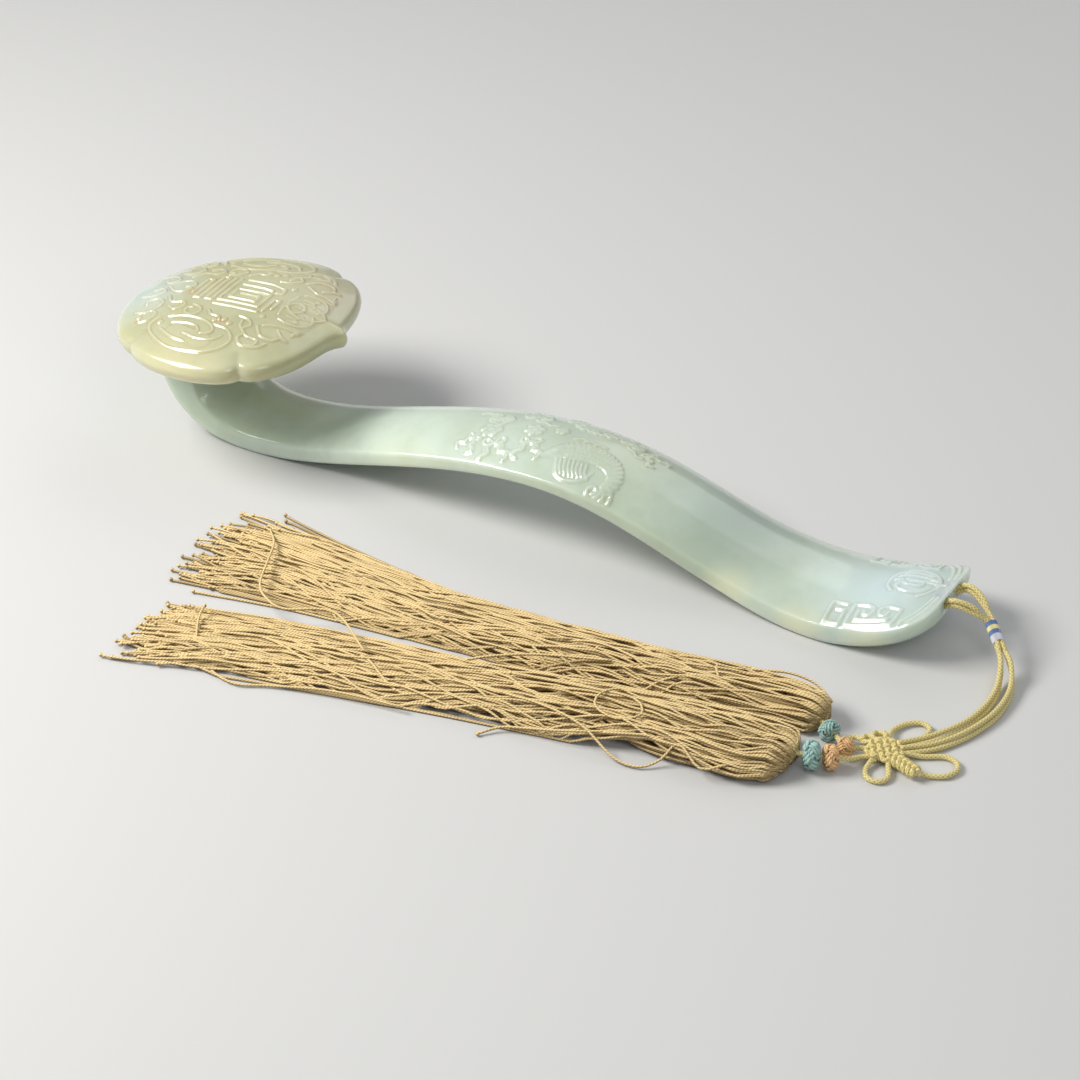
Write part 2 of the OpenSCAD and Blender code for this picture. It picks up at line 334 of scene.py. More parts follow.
def braid(name, colour, painted_shade, turns=4.0, pitch=0.95):
    """Braided silk: two sets of slanting plaits round the cord, with shade in the grooves between them."""
    shader = Shader(name)
    across, along = shader.uv()
    right = (TAU * (turns * across + pitch * along)).sine()
    left = (TAU * (turns * across - pitch * along)).sine()
    plait = abs(right).smaller(abs(left)) * 0.6 + right.larger(left) * 0.4
    fibre = shader.noise(2600.0, 2.0, 0.6)
    # Painted shade in the grooves between the plaits, full colour on their lit crests
    plait_light = shader.ramp(plait, 0.0, 0.6)
    patch = shader.ramp(shader.noise(60.0, 3.0), 0.35, 0.7)
    body = shader.mix(plait_light, rgba(painted_shade), rgba(colour))
    body = shader.mix(patch * 0.22, body, rgba(colour, 0.78))
    shader.set(
        Base_Color=body,
        Roughness=0.5 + fibre * 0.2,
        Normal=shader.bump(plait + fibre * 0.12, 0.00028, 0.9),
        Sheen_Weight=0.1,
        Sheen_Roughness=0.4,
        Specular_IOR_Level=0.4,
    )
    return shader.material


def twist(name, colour, painted_shade, plies=2.0, pitch=0.75):
    """Twisted silk string: slanting plies with painted shade in the grooves between them, darkened further by
    the painted shade in each point's tint number.
    """
    shader = Shader(name)
    across, along = shader.uv()
    ply = abs((math.pi * (plies * across + pitch * along)).sine())
    fibre = shader.noise(3200.0, 2.0, 0.6)
    # Painted shade in the grooves between the plies
    body = shader.mix(shader.ramp(ply, 0.05, 0.55) * 0.7 + 0.3, rgba(painted_shade), rgba(colour))
    # Painted shade from the tint number: a string's own shade and its darker undersides
    body = shader.mix(shader.own("tint") * 0.9, body, rgba(painted_shade))
    shader.set(
        Base_Color=body,
        Roughness=0.48 + fibre * 0.2,
        Normal=shader.bump(ply + fibre * 0.1, 0.0002, 0.9),
        Sheen_Weight=0.05,
        Sheen_Roughness=0.4,
        Specular_IOR_Level=0.45,
    )
    return shader.material


def plain_stage(name, colour):
    shader = Shader(name)
    grain = shader.noise(40.0, 2.0)
    shader.set(Base_Color=shader.mix(grain * 0.03, rgba(colour), rgba(colour, 0.96)), Roughness=0.55)
    return shader.material


# Side curve and cross-section of the handle, as in the frame's own solid

SIDE_CURVE = [
    [[-189, 50], [-189, 16], [-172, -0.4], [-140, -0.4]],
    [[-140, -0.4], [-92, -0.4], [-45, 28.3], [8, 28.3]],
    [[8, 28.3], [60, 28.3], [90, 0.4], [140, -0.4]],
    [[140, -0.4], [160, -0.6], [178, 3], [192.8, 15]],
]
HANDLE_HALF_W = 25.2
TAIL_HALF_W = 29.0
TAIL_START_X = 155.0
TAIL_END_X = 193.6
TAIL_POWER = 4
HOLE_D = 5.0
TUNNEL_MOUTH = np.array([193, 6.2, 21])
TUNNEL_TURN = np.array([184.8, 1.4, 16.2])
BAND_H = 5.3
CROWN_H = 7.5
END_X = 192.8
EDGE_ROLL = 1.7
RELIEF_ZONES = [(-32.0, 54.0), (138.0, END_X)]


def bezier(p, t):
    p = np.asarray(p, float)
    t = np.asarray(t, float)[:, None]
    return (1 - t) ** 3 * p[0] + 3 * t * (1 - t) ** 2 * p[1] + 3 * t**2 * (1 - t) * p[2] + t**3 * p[3]


def tail_share(x):
    inside = 1 - np.clip((x - TAIL_START_X) / (TAIL_END_X - TAIL_START_X), 0, 1) ** TAIL_POWER
    return np.maximum(inside, 0) ** (1 / TAIL_POWER)


def half_width(x):
    wide = lerp(21.5, HANDLE_HALF_W, smooth((x + 110) / 110))
    wide = wide + (TAIL_HALF_W - HANDLE_HALF_W) * smooth((x - 90) / 60)
    return wide * tail_share(x) + 0.6


def ring_spacing(x):
    for low, high in RELIEF_ZONES:
        if low <= x <= high:
            return 0.12 if x > END_X - EDGE_ROLL else 0.46
    return 2.0


def handle_stations():
    """Places along the side curve, close together where relief is carved: x, z, up, neck share."""
    fine = []
    for arc, points in enumerate(SIDE_CURVE):
        t = np.linspace(0, 1, 1500)
        p = bezier(points, t)
        d = np.gradient(p, axis=0)
        d /= np.linalg.norm(d, axis=1)[:, None]
        neck = t if arc == 0 else np.ones_like(t)
        fine.append(np.column_stack([p, d, neck])[0 if arc == 0 else 1 :])
    fine = np.vstack(fine)
    chosen, since = [0], 0.0
    for k in range(1, len(fine)):
        since += np.linalg.norm(fine[k, :2] - fine[k - 1, :2])
        if since >= ring_spacing(fine[k, 0]):
            chosen.append(k)
            since = 0.0
    if chosen[-1] != len(fine) - 1:
        chosen.append(len(fine) - 1)
    return fine[chosen]


TOP_STEPS = 116
TOP_POWER = 2.2


def handle_section(w, t, c, soft):
    """Lateral place, height and share of top relief for each point round one cross-section."""
    edge = min(2.4 * soft, 0.4 * w)
    corner = edge / 3
    lift = t + c * (1 - ((w - 1.3 * corner) / w) ** TOP_POWER)
    bottom = [(0.0, 0.0), (0.5 * (w - edge), 0.0), (w - edge, 0.0)]
    bottom += [(w - 0.6 * edge, 0.15 * soft), (w - corner, 0.6 * soft), (w - 0.1 * corner, 1.5 * soft)]
    bottom += [(w, 2.2 * soft), (w, 0.5 * (t + 2.2 * soft - 1)), (w, t - 1.4)]
    bend = []
    for s in (0.25, 0.5, 0.75):
        u = (1 - s) ** 2 * w + 2 * s * (1 - s) * w + s**2 * (w - 1.3 * corner)
        h = (1 - s) ** 2 * (t - 1.4) + 2 * s * (1 - s) * (t + 0.3) + s**2 * lift
        bend.append((u, h))
    side = bottom + bend
    top_u = np.linspace(w - 1.3 * corner, -(w - 1.3 * corner), TOP_STEPS)
    top_h = t + c * (1 - np.abs(top_u / w) ** TOP_POWER)
    right = np.array([(u, h, 0.0) for u, h in side])
    top = np.column_stack([top_u, top_h, smooth((w - np.abs(top_u)) / 1.6 - 0.3)])
    left = np.array([(-u, h, 0.0) for u, h in side[:0:-1]])
    return np.vstack([right, top, left])


# Relief: raised strokes of drawn motifs, each a line with a half width and a height


def spiral(x, y, outer, inner, start, turns, steps=26):
    t = np.linspace(0, 1, steps)
    angle = np.radians(start) + TAU * turns * t
    radius = outer + (inner - outer) * t
    return np.column_stack([x + radius * np.cos(angle), y + radius * np.sin(angle)])


def stroke(points, half=0.07, height=1.0):
    return np.asarray(points, float), half, height


def curve(points, half, height=1.0, step=0.05):
    """A stroke along a smooth line through given points."""
    return stroke(through(points, step), half, height)


def mirrored(strokes):
    return strokes + [(p * [-1, 1], w, h) for p, w, h in strokes]


def cloud():
    """A cloud scroll: two volutes under a lobe, with a trailing tail."""
    side = [
        stroke(spiral(0.46, 0.05, 0.40, 0.08, 170, -1.5), 0.085),
        curve([[0.06, 0.08], [0.12, 0.5], [0.42, 0.82], [0.75, 0.62], [0.86, 0.2]], 0.075),
    ]
    lobe = curve([[-0.36, 0.86], [-0.2, 1.12], [0, 1.2], [0.2, 1.12], [0.36, 0.86]], 0.075)
    tail = curve([[0.0, -0.15], [0.25, -0.5], [0.75, -0.55], [1.15, -0.85], [1.6, -0.75]], 0.09, 0.8)
    pad = stroke([[-0.4, 0.25], [0.4, 0.25]], 0.5, 0.35)
    return mirrored(side) + [lobe, tail, pad]


def bat():
    """A bat seen from above, with curled wings."""
    wing = [
        curve([[0.14, 0.3], [0.5, 0.72], [1.05, 0.74], [1.4, 0.36], [1.26, 0.02], [1.0, 0.12]], 0.08),
        curve([[0.16, -0.2], [0.42, -0.38], [0.66, -0.12], [0.9, -0.36], [1.12, -0.08], [1.34, -0.1]], 0.07),
        stroke(spiral(0.62, 0.25, 0.26, 0.07, 200, 1.3), 0.07, 0.9),
        stroke([[0.3, 0.15], [1.0, 0.3]], 0.33, 0.4),
        curve([[0.06, 0.72], [0.16, 0.9], [0.26, 0.84]], 0.05),
    ]
    body = [stroke([[0, -0.34], [0, 0.3]], 0.17), stroke([[0, 0.56], [0, 0.62]], 0.17)]
    return mirrored(wing) + body


def flower():
    petals, curls = [], []
    for a in np.arange(6) * TAU / 6:
        x, y = 0.5 * math.cos(a), 0.5 * math.sin(a)
        petals.append(stroke([[x, y]], 0.25, 0.8))
        curls.append(stroke(spiral(x, y, 0.2, 0.06, math.degrees(a), 1.1), 0.05))
    return petals + curls + [stroke([[0, 0]], 0.2, 1.1)]


def ribbon():
    """A knotted ribbon with two streaming ends."""
    half = [
        curve([[0.05, 0.0], [0.35, 0.42], [0.72, 0.4], [0.62, 0.02], [0.1, -0.04]], 0.065),
        curve([[0.05, -0.06], [0.4, -0.32], [0.35, -0.72], [0.8, -0.9], [0.95, -1.3], [0.7, -1.5]], 0.08),
        curve([[0.2, -0.05], [0.62, -0.3], [0.6, -0.66], [1.0, -0.84], [1.2, -1.2]], 0.05, 0.8),
    ]
    return mirrored(half) + [stroke([[0, 0]], 0.15, 1.1)]


def fish():
    """A scaled fish with a fan of fins and a curled tail, in drawing millimetres."""
    line = [[9, -14.6], [16, -9.5], [24, -6], [32, -5.6], [39, -8], [42.8, -13.5], [42.2, -19], [39.6, -22.6]]
    spine = through(line, 0.7)
    along = np.linspace(0, 1, len(spine))
    widths = np.interp(along, [0, 0.12, 0.3, 0.5, 0.75, 1], [0.8, 3.4, 5.6, 5.2, 3.0, 1.4])
    body = [stroke([p], w, 0.62) for p, w in zip(spine, widths)]
    ridge = [stroke(spine[4:-3], 0.3, 0.95)]
    scales = []
    for k in range(14, len(spine) - 6, 3):
        ahead = (spine[k + 1] - spine[k]) / np.linalg.norm(spine[k + 1] - spine[k])
        turn = math.degrees(math.atan2(ahead[1], ahead[0]))
        side = np.array([-ahead[1], ahead[0]])
        for share in (-0.72, -0.36, 0.36, 0.72):
            centre = spine[k] + side * widths[k] * share
            scales.append(stroke(spiral(*centre, 1.25, 1.25, turn - 80, 0.45, 7), 0.26, 0.95))
    fins = []
    for k in range(8):
        x = 15.5 + 1.9 * k
        line = [[x, -14.5 + 0.3 * k], [x + 1.4, -18 + 0.2 * k], [x + 3.6, -21.2 + 0.35 * k]]
        fins.append(curve(line, 0.42, 0.9, 0.6))
    edge = curve([[17, -17.5], [19.5, -21.6], [25, -22.4], [31, -19.6], [33, -15]], 0.4, 0.8, 0.7)
    tail = [
        stroke(spiral(37.4, -22.4, 3.4, 1.0, 20, -1.3), 0.55),
        curve([[42, -18], [45.4, -21], [45.6, -25]], 0.5, 1.0, 0.6),
        curve([[40.8, -19.6], [42.6, -23], [41.2, -26]], 0.5, 1.0, 0.6),
    ]
    back = [curve([[x, 0.2], [x + 2.4, 2.2], [x + 5.4, 2.0]], 0.42, 0.8, 0.6) for x in (16, 20.5, 25)]
    face = [
        stroke(spiral(13, -11.2, 1.2, 0.9, 0, 1.1, 10), 0.36, 1.15),
        curve([[17.5, -5.2], [19.6, -8.6], [19.4, -12.6]], 0.4, 0.95, 0.6),
        curve([[8, -15], [5.5, -13], [3, -14.4]], 0.36, 0.8, 0.6),
    ]
    return body + ridge + scales + fins + [edge] + tail + back + face


MOTIFS = {"cloud": cloud, "bat": bat, "flower": flower, "ribbon": ribbon}


def laid_out(places):
    """Strokes of named motifs, each placed as name, x, y, size and turn in degrees."""
    out = []
    for name, x, y, size, turn in places:
        c, s = math.cos(math.radians(turn)), math.sin(math.radians(turn))
        spin = np.array([[c, s], [-s, c]])
        out += [(p @ spin * size + [x, y], w * size, h) for p, w, h in MOTIFS[name]()]
    return out


def relief_height(places, strokes, soft=0.42):
    """Height in millimetres of the raised strokes over each place, the highest stroke winning."""
    height = np.zeros(len(places))
    for points, half, tall in strokes:
        reach = half + soft
        low, high = points.min(0) - reach, points.max(0) + reach
        near = np.flatnonzero(((places > low) & (places < high)).all(1))
        if not len(near):
            continue
        spots = places[near]
        gap = np.full(len(near), 1e9)
        starts, ends = (points, points) if len(points) == 1 else (points[:-1], points[1:])
        for a, b in zip(starts, ends):
            span = b - a
            share = np.clip((spots - a) @ span / max(span @ span, 1e-12), 0, 1)
            gap = np.minimum(gap, np.linalg.norm(spots - a - share[:, None] * span, axis=1))
        crown = 0.72 + 0.28 * np.sqrt(np.clip(1 - (gap / reach) ** 2, 0, 1))
        rise = tall * smooth((reach - gap) / soft) * crown
        height[near] = np.maximum(height[near], rise)
    return height


# Head outline and profile, as in the frame's own solid

HEAD_CENTRE = np.array([-153.6, -2.0])
HEAD_BOTTOM = 48.4
HEAD_TILT = 2.9
HEAD_YAW = 4.5
HEAD_AROUND = 540
DOME_RINGS = 138
HEAD_PROFILE = [
    [0.80, 1.5], [0.90, 0], [0.965, 1.2], [1, 4.6], [0.995, 7.4], [0.97, 9.3], [0.93, 10.3],
    [0.88, 11.4], [0.80, 13.05], [0.65, 15.12], [0.45, 16.83], [0.22, 17.73], [0.02, 18],
]


def head_radius(a, sharp=1.0):
    """The outline's radius at an angle; sharp is how much of the notches and of the cusp is left."""
    turn = (a + 180) % 360 - 180
    wave = 54.3 - 1.7 * np.cos(np.radians(a)) - 2.4 * np.cos(np.radians(2 * a))
    wave = wave - 1.5 * np.cos(np.radians(3 * a)) - 0.8 * np.cos(np.radians(4 * a))
    wave = wave - 3.5 * sharp * np.exp(-np.hypot(np.abs(turn) - 61, 0.5) / 4.5)
    wave = wave - 2.1 * sharp * np.exp(-np.hypot(np.abs(turn) - 125, 0.5) / 4.5)
    return wave + 5.8 * sharp * np.exp(-np.hypot(turn, 0.1) / 5)


def head_strokes():
    """The carved field of the head: a fret medallion, and on each side fruit, leaves, curls and ribbons."""
    half = []
    for line in (
        # A large leaf near the rim, with its veins
        [
            [-24, -28], [-26, -34], [-20, -41], [-9, -46.5], [6, -46.5],
            [14, -42], [16, -35.5], [11, -29.5], [4, -28],
        ],
        [[-7, -37], [1, -39], [8, -38], [11, -34.5]],
        [[-19, -36], [-12, -40], [-4, -42]],
        [[-20, -27], [-12, -25], [-3, -26], [4, -30], [5, -34], [1, -35.5]],
        [[-16, -31], [-10, -30], [-4, -31], [-1, -34]],
        # Scrolls towards the outer lobe
        [[-49, -16], [-44, -22], [-37, -25], [-31, -22], [-30, -16], [-34, -13], [-38, -15], [-37, -18.5]],
        [[-43, -27], [-37, -32], [-30, -31], [-28, -26], [-31, -23.5], [-34, -25.5]],
        [[-34, -38], [-27, -38], [-23, -42], [-25, -45.5], [-29, -44.5], [-28.5, -42]],
        [[-50, -5], [-45, -10], [-38, -10], [-35, -6], [-38, -3], [-41, -5]],
        [[-36, 0], [-31, -5], [-26, -5], [-24, -1.5], [-27, 0.5]],
        # A swag between them
        [[-30, -10], [-26, -15], [-20, -14.5], [-18, -18], [-21, -21], [-25, -19]],
        [[-14, -15.5], [-10, -17], [-8, -20.5], [-10.5, -23.5], [-14.5, -22.5], [-15.5, -19], [-13, -18]],
        [[-5, -18], [-2, -21], [2, -21.5], [4, -24]],
        # A fruit and a curl beside the cusp
        [[25, -9], [24, -2], [28, 4], [34, 6], [41, 3], [45, -4], [43, -12], [37, -16], [30, -17], [24, -20]],
        [[27, -12], [33, -13], [38, -11], [40, -6], [38, -2]],
        [[29, -8], [33, -8], [35, -5]],
        [[28, -4], [31, -3.5], [32.5, -1]],
        [[31, -20], [36, -24], [42, -22], [42, -17.5], [38, -17], [37.5, -19.5]],
        [[22, -22], [26, -27], [32, -27.5], [34, -24.5]],
        # A ribbon
        [[11, -18], [16, -19], [19, -23], [17, -26.5], [21, -30], [26, -30.5], [27, -34], [23, -36]],
        [[14, -21], [15, -25], [19, -29], [18, -33], [22, -36.5], [28, -35], [31, -31]],
    ):
        half.append(curve(line, 0.42, 0.95, 0.9))
    half += [stroke([[-12, -36], [4, -40]], 4.2, 0.3), stroke([[30, -6], [38, -7]], 5.5, 0.3)]
    for spot in (
        [2, -24.5], [6, -23], [9.5, -25], [-22, -31.5], [-19, -44],
        [34, 10], [20, -14], [-30, -19], [-35, -29], [12, -49],
    ):
        half.append(stroke([spot], 1.15, 0.85))
    strokes = half + [(p * [1, -1], w, h) for p, w, h in half]
    for line in (
        [
            [-21, -5], [-21, 9], [-18, 9], [-18, -9], [-15, -9],
            [-15, 13], [-12, 13], [-12, -9], [-9, -9], [-9, 13],
        ],
        [
            [-6, 13], [-6, -8], [14, -8], [14, 4], [-2.4, 4],
            [-2.4, -4.4], [10.4, -4.4], [10.4, 0.4], [1.2, 0.4],
        ],
        [[-6, -12], [16, -12]],
        [[-2.4, 13.6], [10, 13.6], [17, 11.5], [18, 7], [15.5, 6.5]],
        [[-2.4, 8.6], [8, 8.6], [12.5, 8]],
        [[17.6, -10], [17.6, 1], [20.4, 1], [20.4, -7]],
    ):
        strokes.append(stroke(line, 0.5, 0.95))
    return strokes


def mid_strokes():
    """The carved field at the crest: a fish, flowers with ribbons, and clouds along the far edge."""
    places = [
        ("flower", -21, -7, 6.5, 10), ("ribbon", -15, -15, 6.5, 25), ("cloud", -22, 4, 6, 200),
        ("ribbon", -26, -14, 4.5, -20), ("flower", -3, -1, 6, 30), ("ribbon", 0, -10, 6, 15),
        ("cloud", -8, 10, 7, 10), ("flower", 8, 3.5, 4, 0), ("bat", 20, 13, 7, 5),
        ("cloud", 36, 13, 6.5, -12), ("ribbon", 47, 11, 5, 60), ("cloud", 8, 16, 5.5, 0),
    ]
    return laid_out(places) + fish()


def tail_strokes():
    """A round key-fret medallion between two fret borders near the tail's edges."""
    x, y = 175.0, 1.5
    strokes = [stroke(spiral(x, y, 10.6, 10.6, -60, 0.8, 40), 0.5)]
    for line in (
        [[-7.5, 3.2], [-4, 4.6], [3, 4.8], [9.5, 3.6]],
        [[-6.5, 6.6], [-1, 7.8], [5.5, 7.4]],
        [[-3.5, 1.2], [6.5, 1.6], [13.5, 0.2]],
        [[-4.4, -1.6], [-1.2, -2.6], [3, -2.2], [3.4, 0.4], [-1.4, 0.2]],
        [[-6.8, -3.2], [-4.6, -6.2], [0.5, -7.4], [5, -6.4], [7.4, -3.4]],
        [[-8.2, 0], [-5.6, 0.6], [-5.8, -2.8]],
    ):
        strokes.append(stroke(through(line, 0.8) + [x, y], 0.6))
    for line in (
        [[178.5, 17.4], [177.5, 25], [172, 26.6], [158, 27.4], [158, 17.4]],
        [[161, 20.5], [161, 24.6], [171, 24], [174.6, 23.2]],
        through([[158, 17.4], [163.5, 17], [166.8, 18.8], [166.2, 21.6], [163.6, 21.8], [163, 20]], 0.6),
        through([[178.5, 17.4], [173, 17], [169.8, 18.8], [170.4, 21.6], [173, 21.8], [173.8, 20]], 0.6),
        [[155, 17.6], [148.5, 17.6], [148.5, 27.6], [155, 27.6], [155, 21], [151.6, 21]],
        through([[180.5, 24.5], [184, 20], [186.5, 14], [187.5, 7.5]], 0.8),
        through([[182.5, 25.5], [186.5, 20.5], [188.8, 14.5], [189.6, 8.5]], 0.8),
    ):
        strokes += [stroke(np.array(line) * [1, side], 0.55, 0.9) for side in (-1, 1)]
    return strokes


def head_mesh():
    profile = np.asarray(HEAD_PROFILE, float)
    rim = through(profile[:8], 0.011)[:-1]
    dome = through(profile[7:], 0.02)
    shares = np.linspace(0.88, 0.008, DOME_RINGS)
    heights = np.interp(-shares, -dome[:, 0], dome[:, 1])
    angles = np.linspace(0, 360, HEAD_AROUND, endpoint=False)
    lips = [(s, h) for s, h in rim[:: max(1, len(rim) // 26)]]
    rings = [(0.02, 1.5), (0.4, 1.5)] + lips + list(zip(shares, heights))
    around = np.column_stack([np.cos(np.radians(angles)), np.sin(np.radians(angles))])
    reaches = [s * head_radius(angles, smooth((s - 0.74) / 0.2)) for s, _ in rings]
    plan = np.concatenate([around * reach[:, None] for reach in reaches])
    tall = np.repeat([h for _, h in rings], HEAD_AROUND)
    share = np.repeat([s for s, _ in rings], HEAD_AROUND)
    top = np.repeat([k >= 2 + len(lips) for k in range(len(rings))], HEAD_AROUND)
    raised = np.zeros(len(plan))
    field = np.flatnonzero(top & (share < 0.87))
    raised[field] = relief_height(plan[field], head_strokes())
    raised = raised * smooth((0.865 - share) / 0.03)
    z = tall + np.where(top, 0.75 * raised, 0)
    carved = np.where(top, np.clip(0.9 - raised, 0, 1) * edge_share(raised, HEAD_AROUND), 0)
    leaning = head_in_place(np.column_stack([plan, z + HEAD_BOTTOM]))
    faces = grid_faces(len(rings), HEAD_AROUND)
    return own_mesh("head_carved", to_frame(leaning), faces, carved=carved)


def head_in_place(points):
    """Turns the head by its yaw, leans it and moves it to its centre."""
    yaw, lean = math.radians(HEAD_YAW), math.radians(HEAD_TILT)
    x = points[:, 0] * math.cos(yaw) - points[:, 1] * math.sin(yaw)
    y = points[:, 0] * math.sin(yaw) + points[:, 1] * math.cos(yaw)
    z = points[:, 2] - HEAD_BOTTOM
    forward = x * math.cos(lean) - z * math.sin(lean)
    up = x * math.sin(lean) + z * math.cos(lean)
    return np.column_stack([HEAD_CENTRE[0] + forward, HEAD_CENTRE[1] + y, HEAD_BOTTOM + up])


def edge_share(raised, width):
    """How close each place is to a carved edge, from the height's change to its neighbours."""
    grid = raised.reshape(-1, width)
    across = np.abs(grid - np.roll(grid, 1, 1)) + np.abs(grid - np.roll(grid, -1, 1))
    along = np.abs(np.gradient(grid, axis=0)) * 2
    edge = np.clip((across + along) * 1.6, 0, 1)
    for _ in range(2):
        beside = sum(np.roll(edge, way, axis) for axis in (1, 0) for way in (1, -1))
        edge = 0.5 * edge + 0.125 * beside
    return np.clip(edge * 1.6, 0, 1).ravel()


def grid_faces(rings, width):
    """Quads round closed rings, with one face over each end."""
    faces = [tuple(range(width - 1, -1, -1))]
    for r in range(rings - 1):
        a = r * width
        for k in range(width):
            n = (k + 1) % width
            faces.append((a + k, a + n, a + width + n, a + width + k))
    faces.append(tuple(range((rings - 1) * width, rings * width)))
    return faces


def rolled(q, depth):
    """Draws a cross-section in where it is less than EDGE_ROLL from the end face."""
    if depth >= EDGE_ROLL:
        return q
    inset = EDGE_ROLL - math.sqrt(EDGE_ROLL**2 - (EDGE_ROLL - depth) ** 2)
    q = q.copy()
    middle = (q[:, 1].max() + q[:, 1].min()) / 2
    q[:, 0] *= 1 - inset / np.abs(q[:, 0]).max()
    q[:, 1] = middle + (q[:, 1] - middle) * (1 - inset / (q[:, 1].max() - middle))
    q[:, 2] = 0
    return q


def shaft_mesh():
    rings, tops = [], []
    for x, z, dx, dz, neck in handle_stations():
        stand = smooth((x - 145) / 40)
        up = lerp(np.array([-dz, dx]), np.array([0.0, 1.0]), stand)
        up /= np.linalg.norm(up)
        flare = 1 - smooth(neck)
        w = float(half_width(x))
        t = BAND_H + 0.022 * abs(x) + 8 * flare
        c = CROWN_H * lerp(1, 0.2, smooth((x - 170) / 22)) + 2 * flare
        q = rolled(handle_section(w, t, c, 1 + 2 * stand), END_X - x)
        rings.append(np.column_stack([x + up[0] * q[:, 1], q[:, 0], z + up[1] * q[:, 1]]))
        tops.append(np.column_stack([q[:, 2], np.full(len(q), up[0]), np.full(len(q), up[1])]))
    points, tops = np.vstack(rings), np.vstack(tops)
    width = len(rings[0])
    raised = np.zeros(len(points))
    on_top = tops[:, 0] > 0
    for strokes, low, high in ((mid_strokes(), -34, 56), (tail_strokes(), 138, 197)):
        field = np.flatnonzero(on_top & (points[:, 0] > low) & (points[:, 0] < high))
        raised[field] = relief_height(points[field, :2], strokes)
    raised *= tops[:, 0]
    points[:, 0] += 0.8 * raised * tops[:, 1]
    points[:, 2] += 0.8 * raised * tops[:, 2]
    points[:, 2] = np.maximum(points[:, 2], 0.0)
    carved = edge_share(raised, width) * np.clip(1 - raised, 0, 1)
    made = own_mesh("shaft_carved", to_frame(points), grid_faces(len(rings), width), carved=carved)
    outward = (TUNNEL_MOUTH - TUNNEL_TURN) / np.linalg.norm(TUNNEL_MOUTH - TUNNEL_TURN)
    for side in (1, -1):
        bore(made, (TUNNEL_TURN - 0.6 * outward) * [1, side, 1], (TUNNEL_MOUTH + 3 * outward) * [1, side, 1])
    return made


def bore(piece, start, end):
    """Cuts one arm of the cord's tunnel."""
    deselect()
    way = Vector((end - start) * MM)
    facing = way.to_track_quat("Z", "Y").to_euler()
    bpy.ops.mesh.primitive_cylinder_add(
        vertices=48,
        radius=HOLE_D * MM / 2,
        depth=way.length,
        location=to_frame((start + end) / 2),
        rotation=facing,
    )
    tool = bpy.context.object
    cut = piece.modifiers.new("bore", "BOOLEAN")
    cut.operation = "DIFFERENCE"
    cut.object = tool
    cut.solver = "FAST"
    bpy.context.view_layer.objects.active = piece
    bpy.ops.object.modifier_apply(modifier="bore")
    bpy.data.objects.remove(tool)


# Cords: the same routes as in the frame, drawn smoothly

STRAND_GAP = 1.15
BINDING_AT = np.array([214.0, -5.0, 13.0])
BINDING_DIR = np.array([2.0, -2.0, -1.0]) / 3
BINDING_SIDE = np.array([1.0, 1.0, 0.0]) / math.sqrt(2)
BINDING_UP = np.cross(BINDING_SIDE, BINDING_DIR)
OVER_ARC = [[198, 6.3, 22.3], [204.5, 4.1, 19.6]]
INNER_RUN = [
    [221.5, -15, 6], [224.5, -23, 2.2], [226.5, -33, 1.2], [226.5, -45, 1.2],
    [224.5, -55, 1.2], [220.5, -64, 1.2], [215.5, -72.5, 1.6], [209, -82.5, 2.8],
]
OUTER_RUN = [
    [224.8, -13.3, 6], [229.2, -21, 2.2], [231.6, -31, 1.2], [231.8, -44, 1.2],
    [229.2, -56, 1.2], [225.5, -65.5, 1.2], [219.5, -75.5, 1.6], [211.5, -85, 2.8],
]
RUN_TURN = [85, 80, 70, 62, 58, 50, 30, 40]
STRANDS = {
    "strand_front_inner": (-1, -1, INNER_RUN),
    "strand_front_outer": (-1, 1, INNER_RUN),
    "strand_back_inner": (1, -1, OUTER_RUN),
    "strand_back_outer": (1, 1, OUTER_RUN),
}
UPPER_LOOP = [
    [203, -79, 3], [201.5, -72, 1.5], [204, -65, 1.2], [209, -61.5, 1.2],
    [213.5, -63.5, 1.2], [213.5, -70, 1.2], [209, -79, 2.6],
]
LOWER_LOOP = [
    [212.5, -85, 2.6], [219, -81.5, 1.2], [226, -77.5, 1.2], [231.5, -78.5, 1.2],
    [234, -83, 1.2], [232, -88.5, 1.2], [227, -91.5, 1.2], [221.5, -93.5, 2],
]
SMALL_LOOP = [
    [203.5, -94, 2.4], [203.6, -100.5, 1.2], [206.5, -105, 1.2], [211.3, -105, 1.2],
    [213.2, -101, 1.2], [210.5, -95, 2], [209, -92, 2.6],
]
HANGER_FRONT = [
    [203, -92.5, 2.6], [198.9, -95.9, 2.6], [196.8, -100, 3.4], [194.6, -103.2, 5], [192.3, -104.8, 5.6],
    [188.4, -107, 6], [184.5, -109, 6.4], [177, -110.5, 6], [167, -112, 6],
]
HANGER_BACK = [
    [200.5, -89.5, 3], [195.8, -92, 3.4], [192.5, -95, 4], [188.5, -92.5, 4.3],
    [184, -89, 4.7], [178, -86, 5], [167, -83, 5.5],
]
HANGER_LOOP = [[195.3, -86, 3.2], [191.5, -85.5, 3], [189.5, -88.5, 2.8], [190.5, -92, 3.4]]


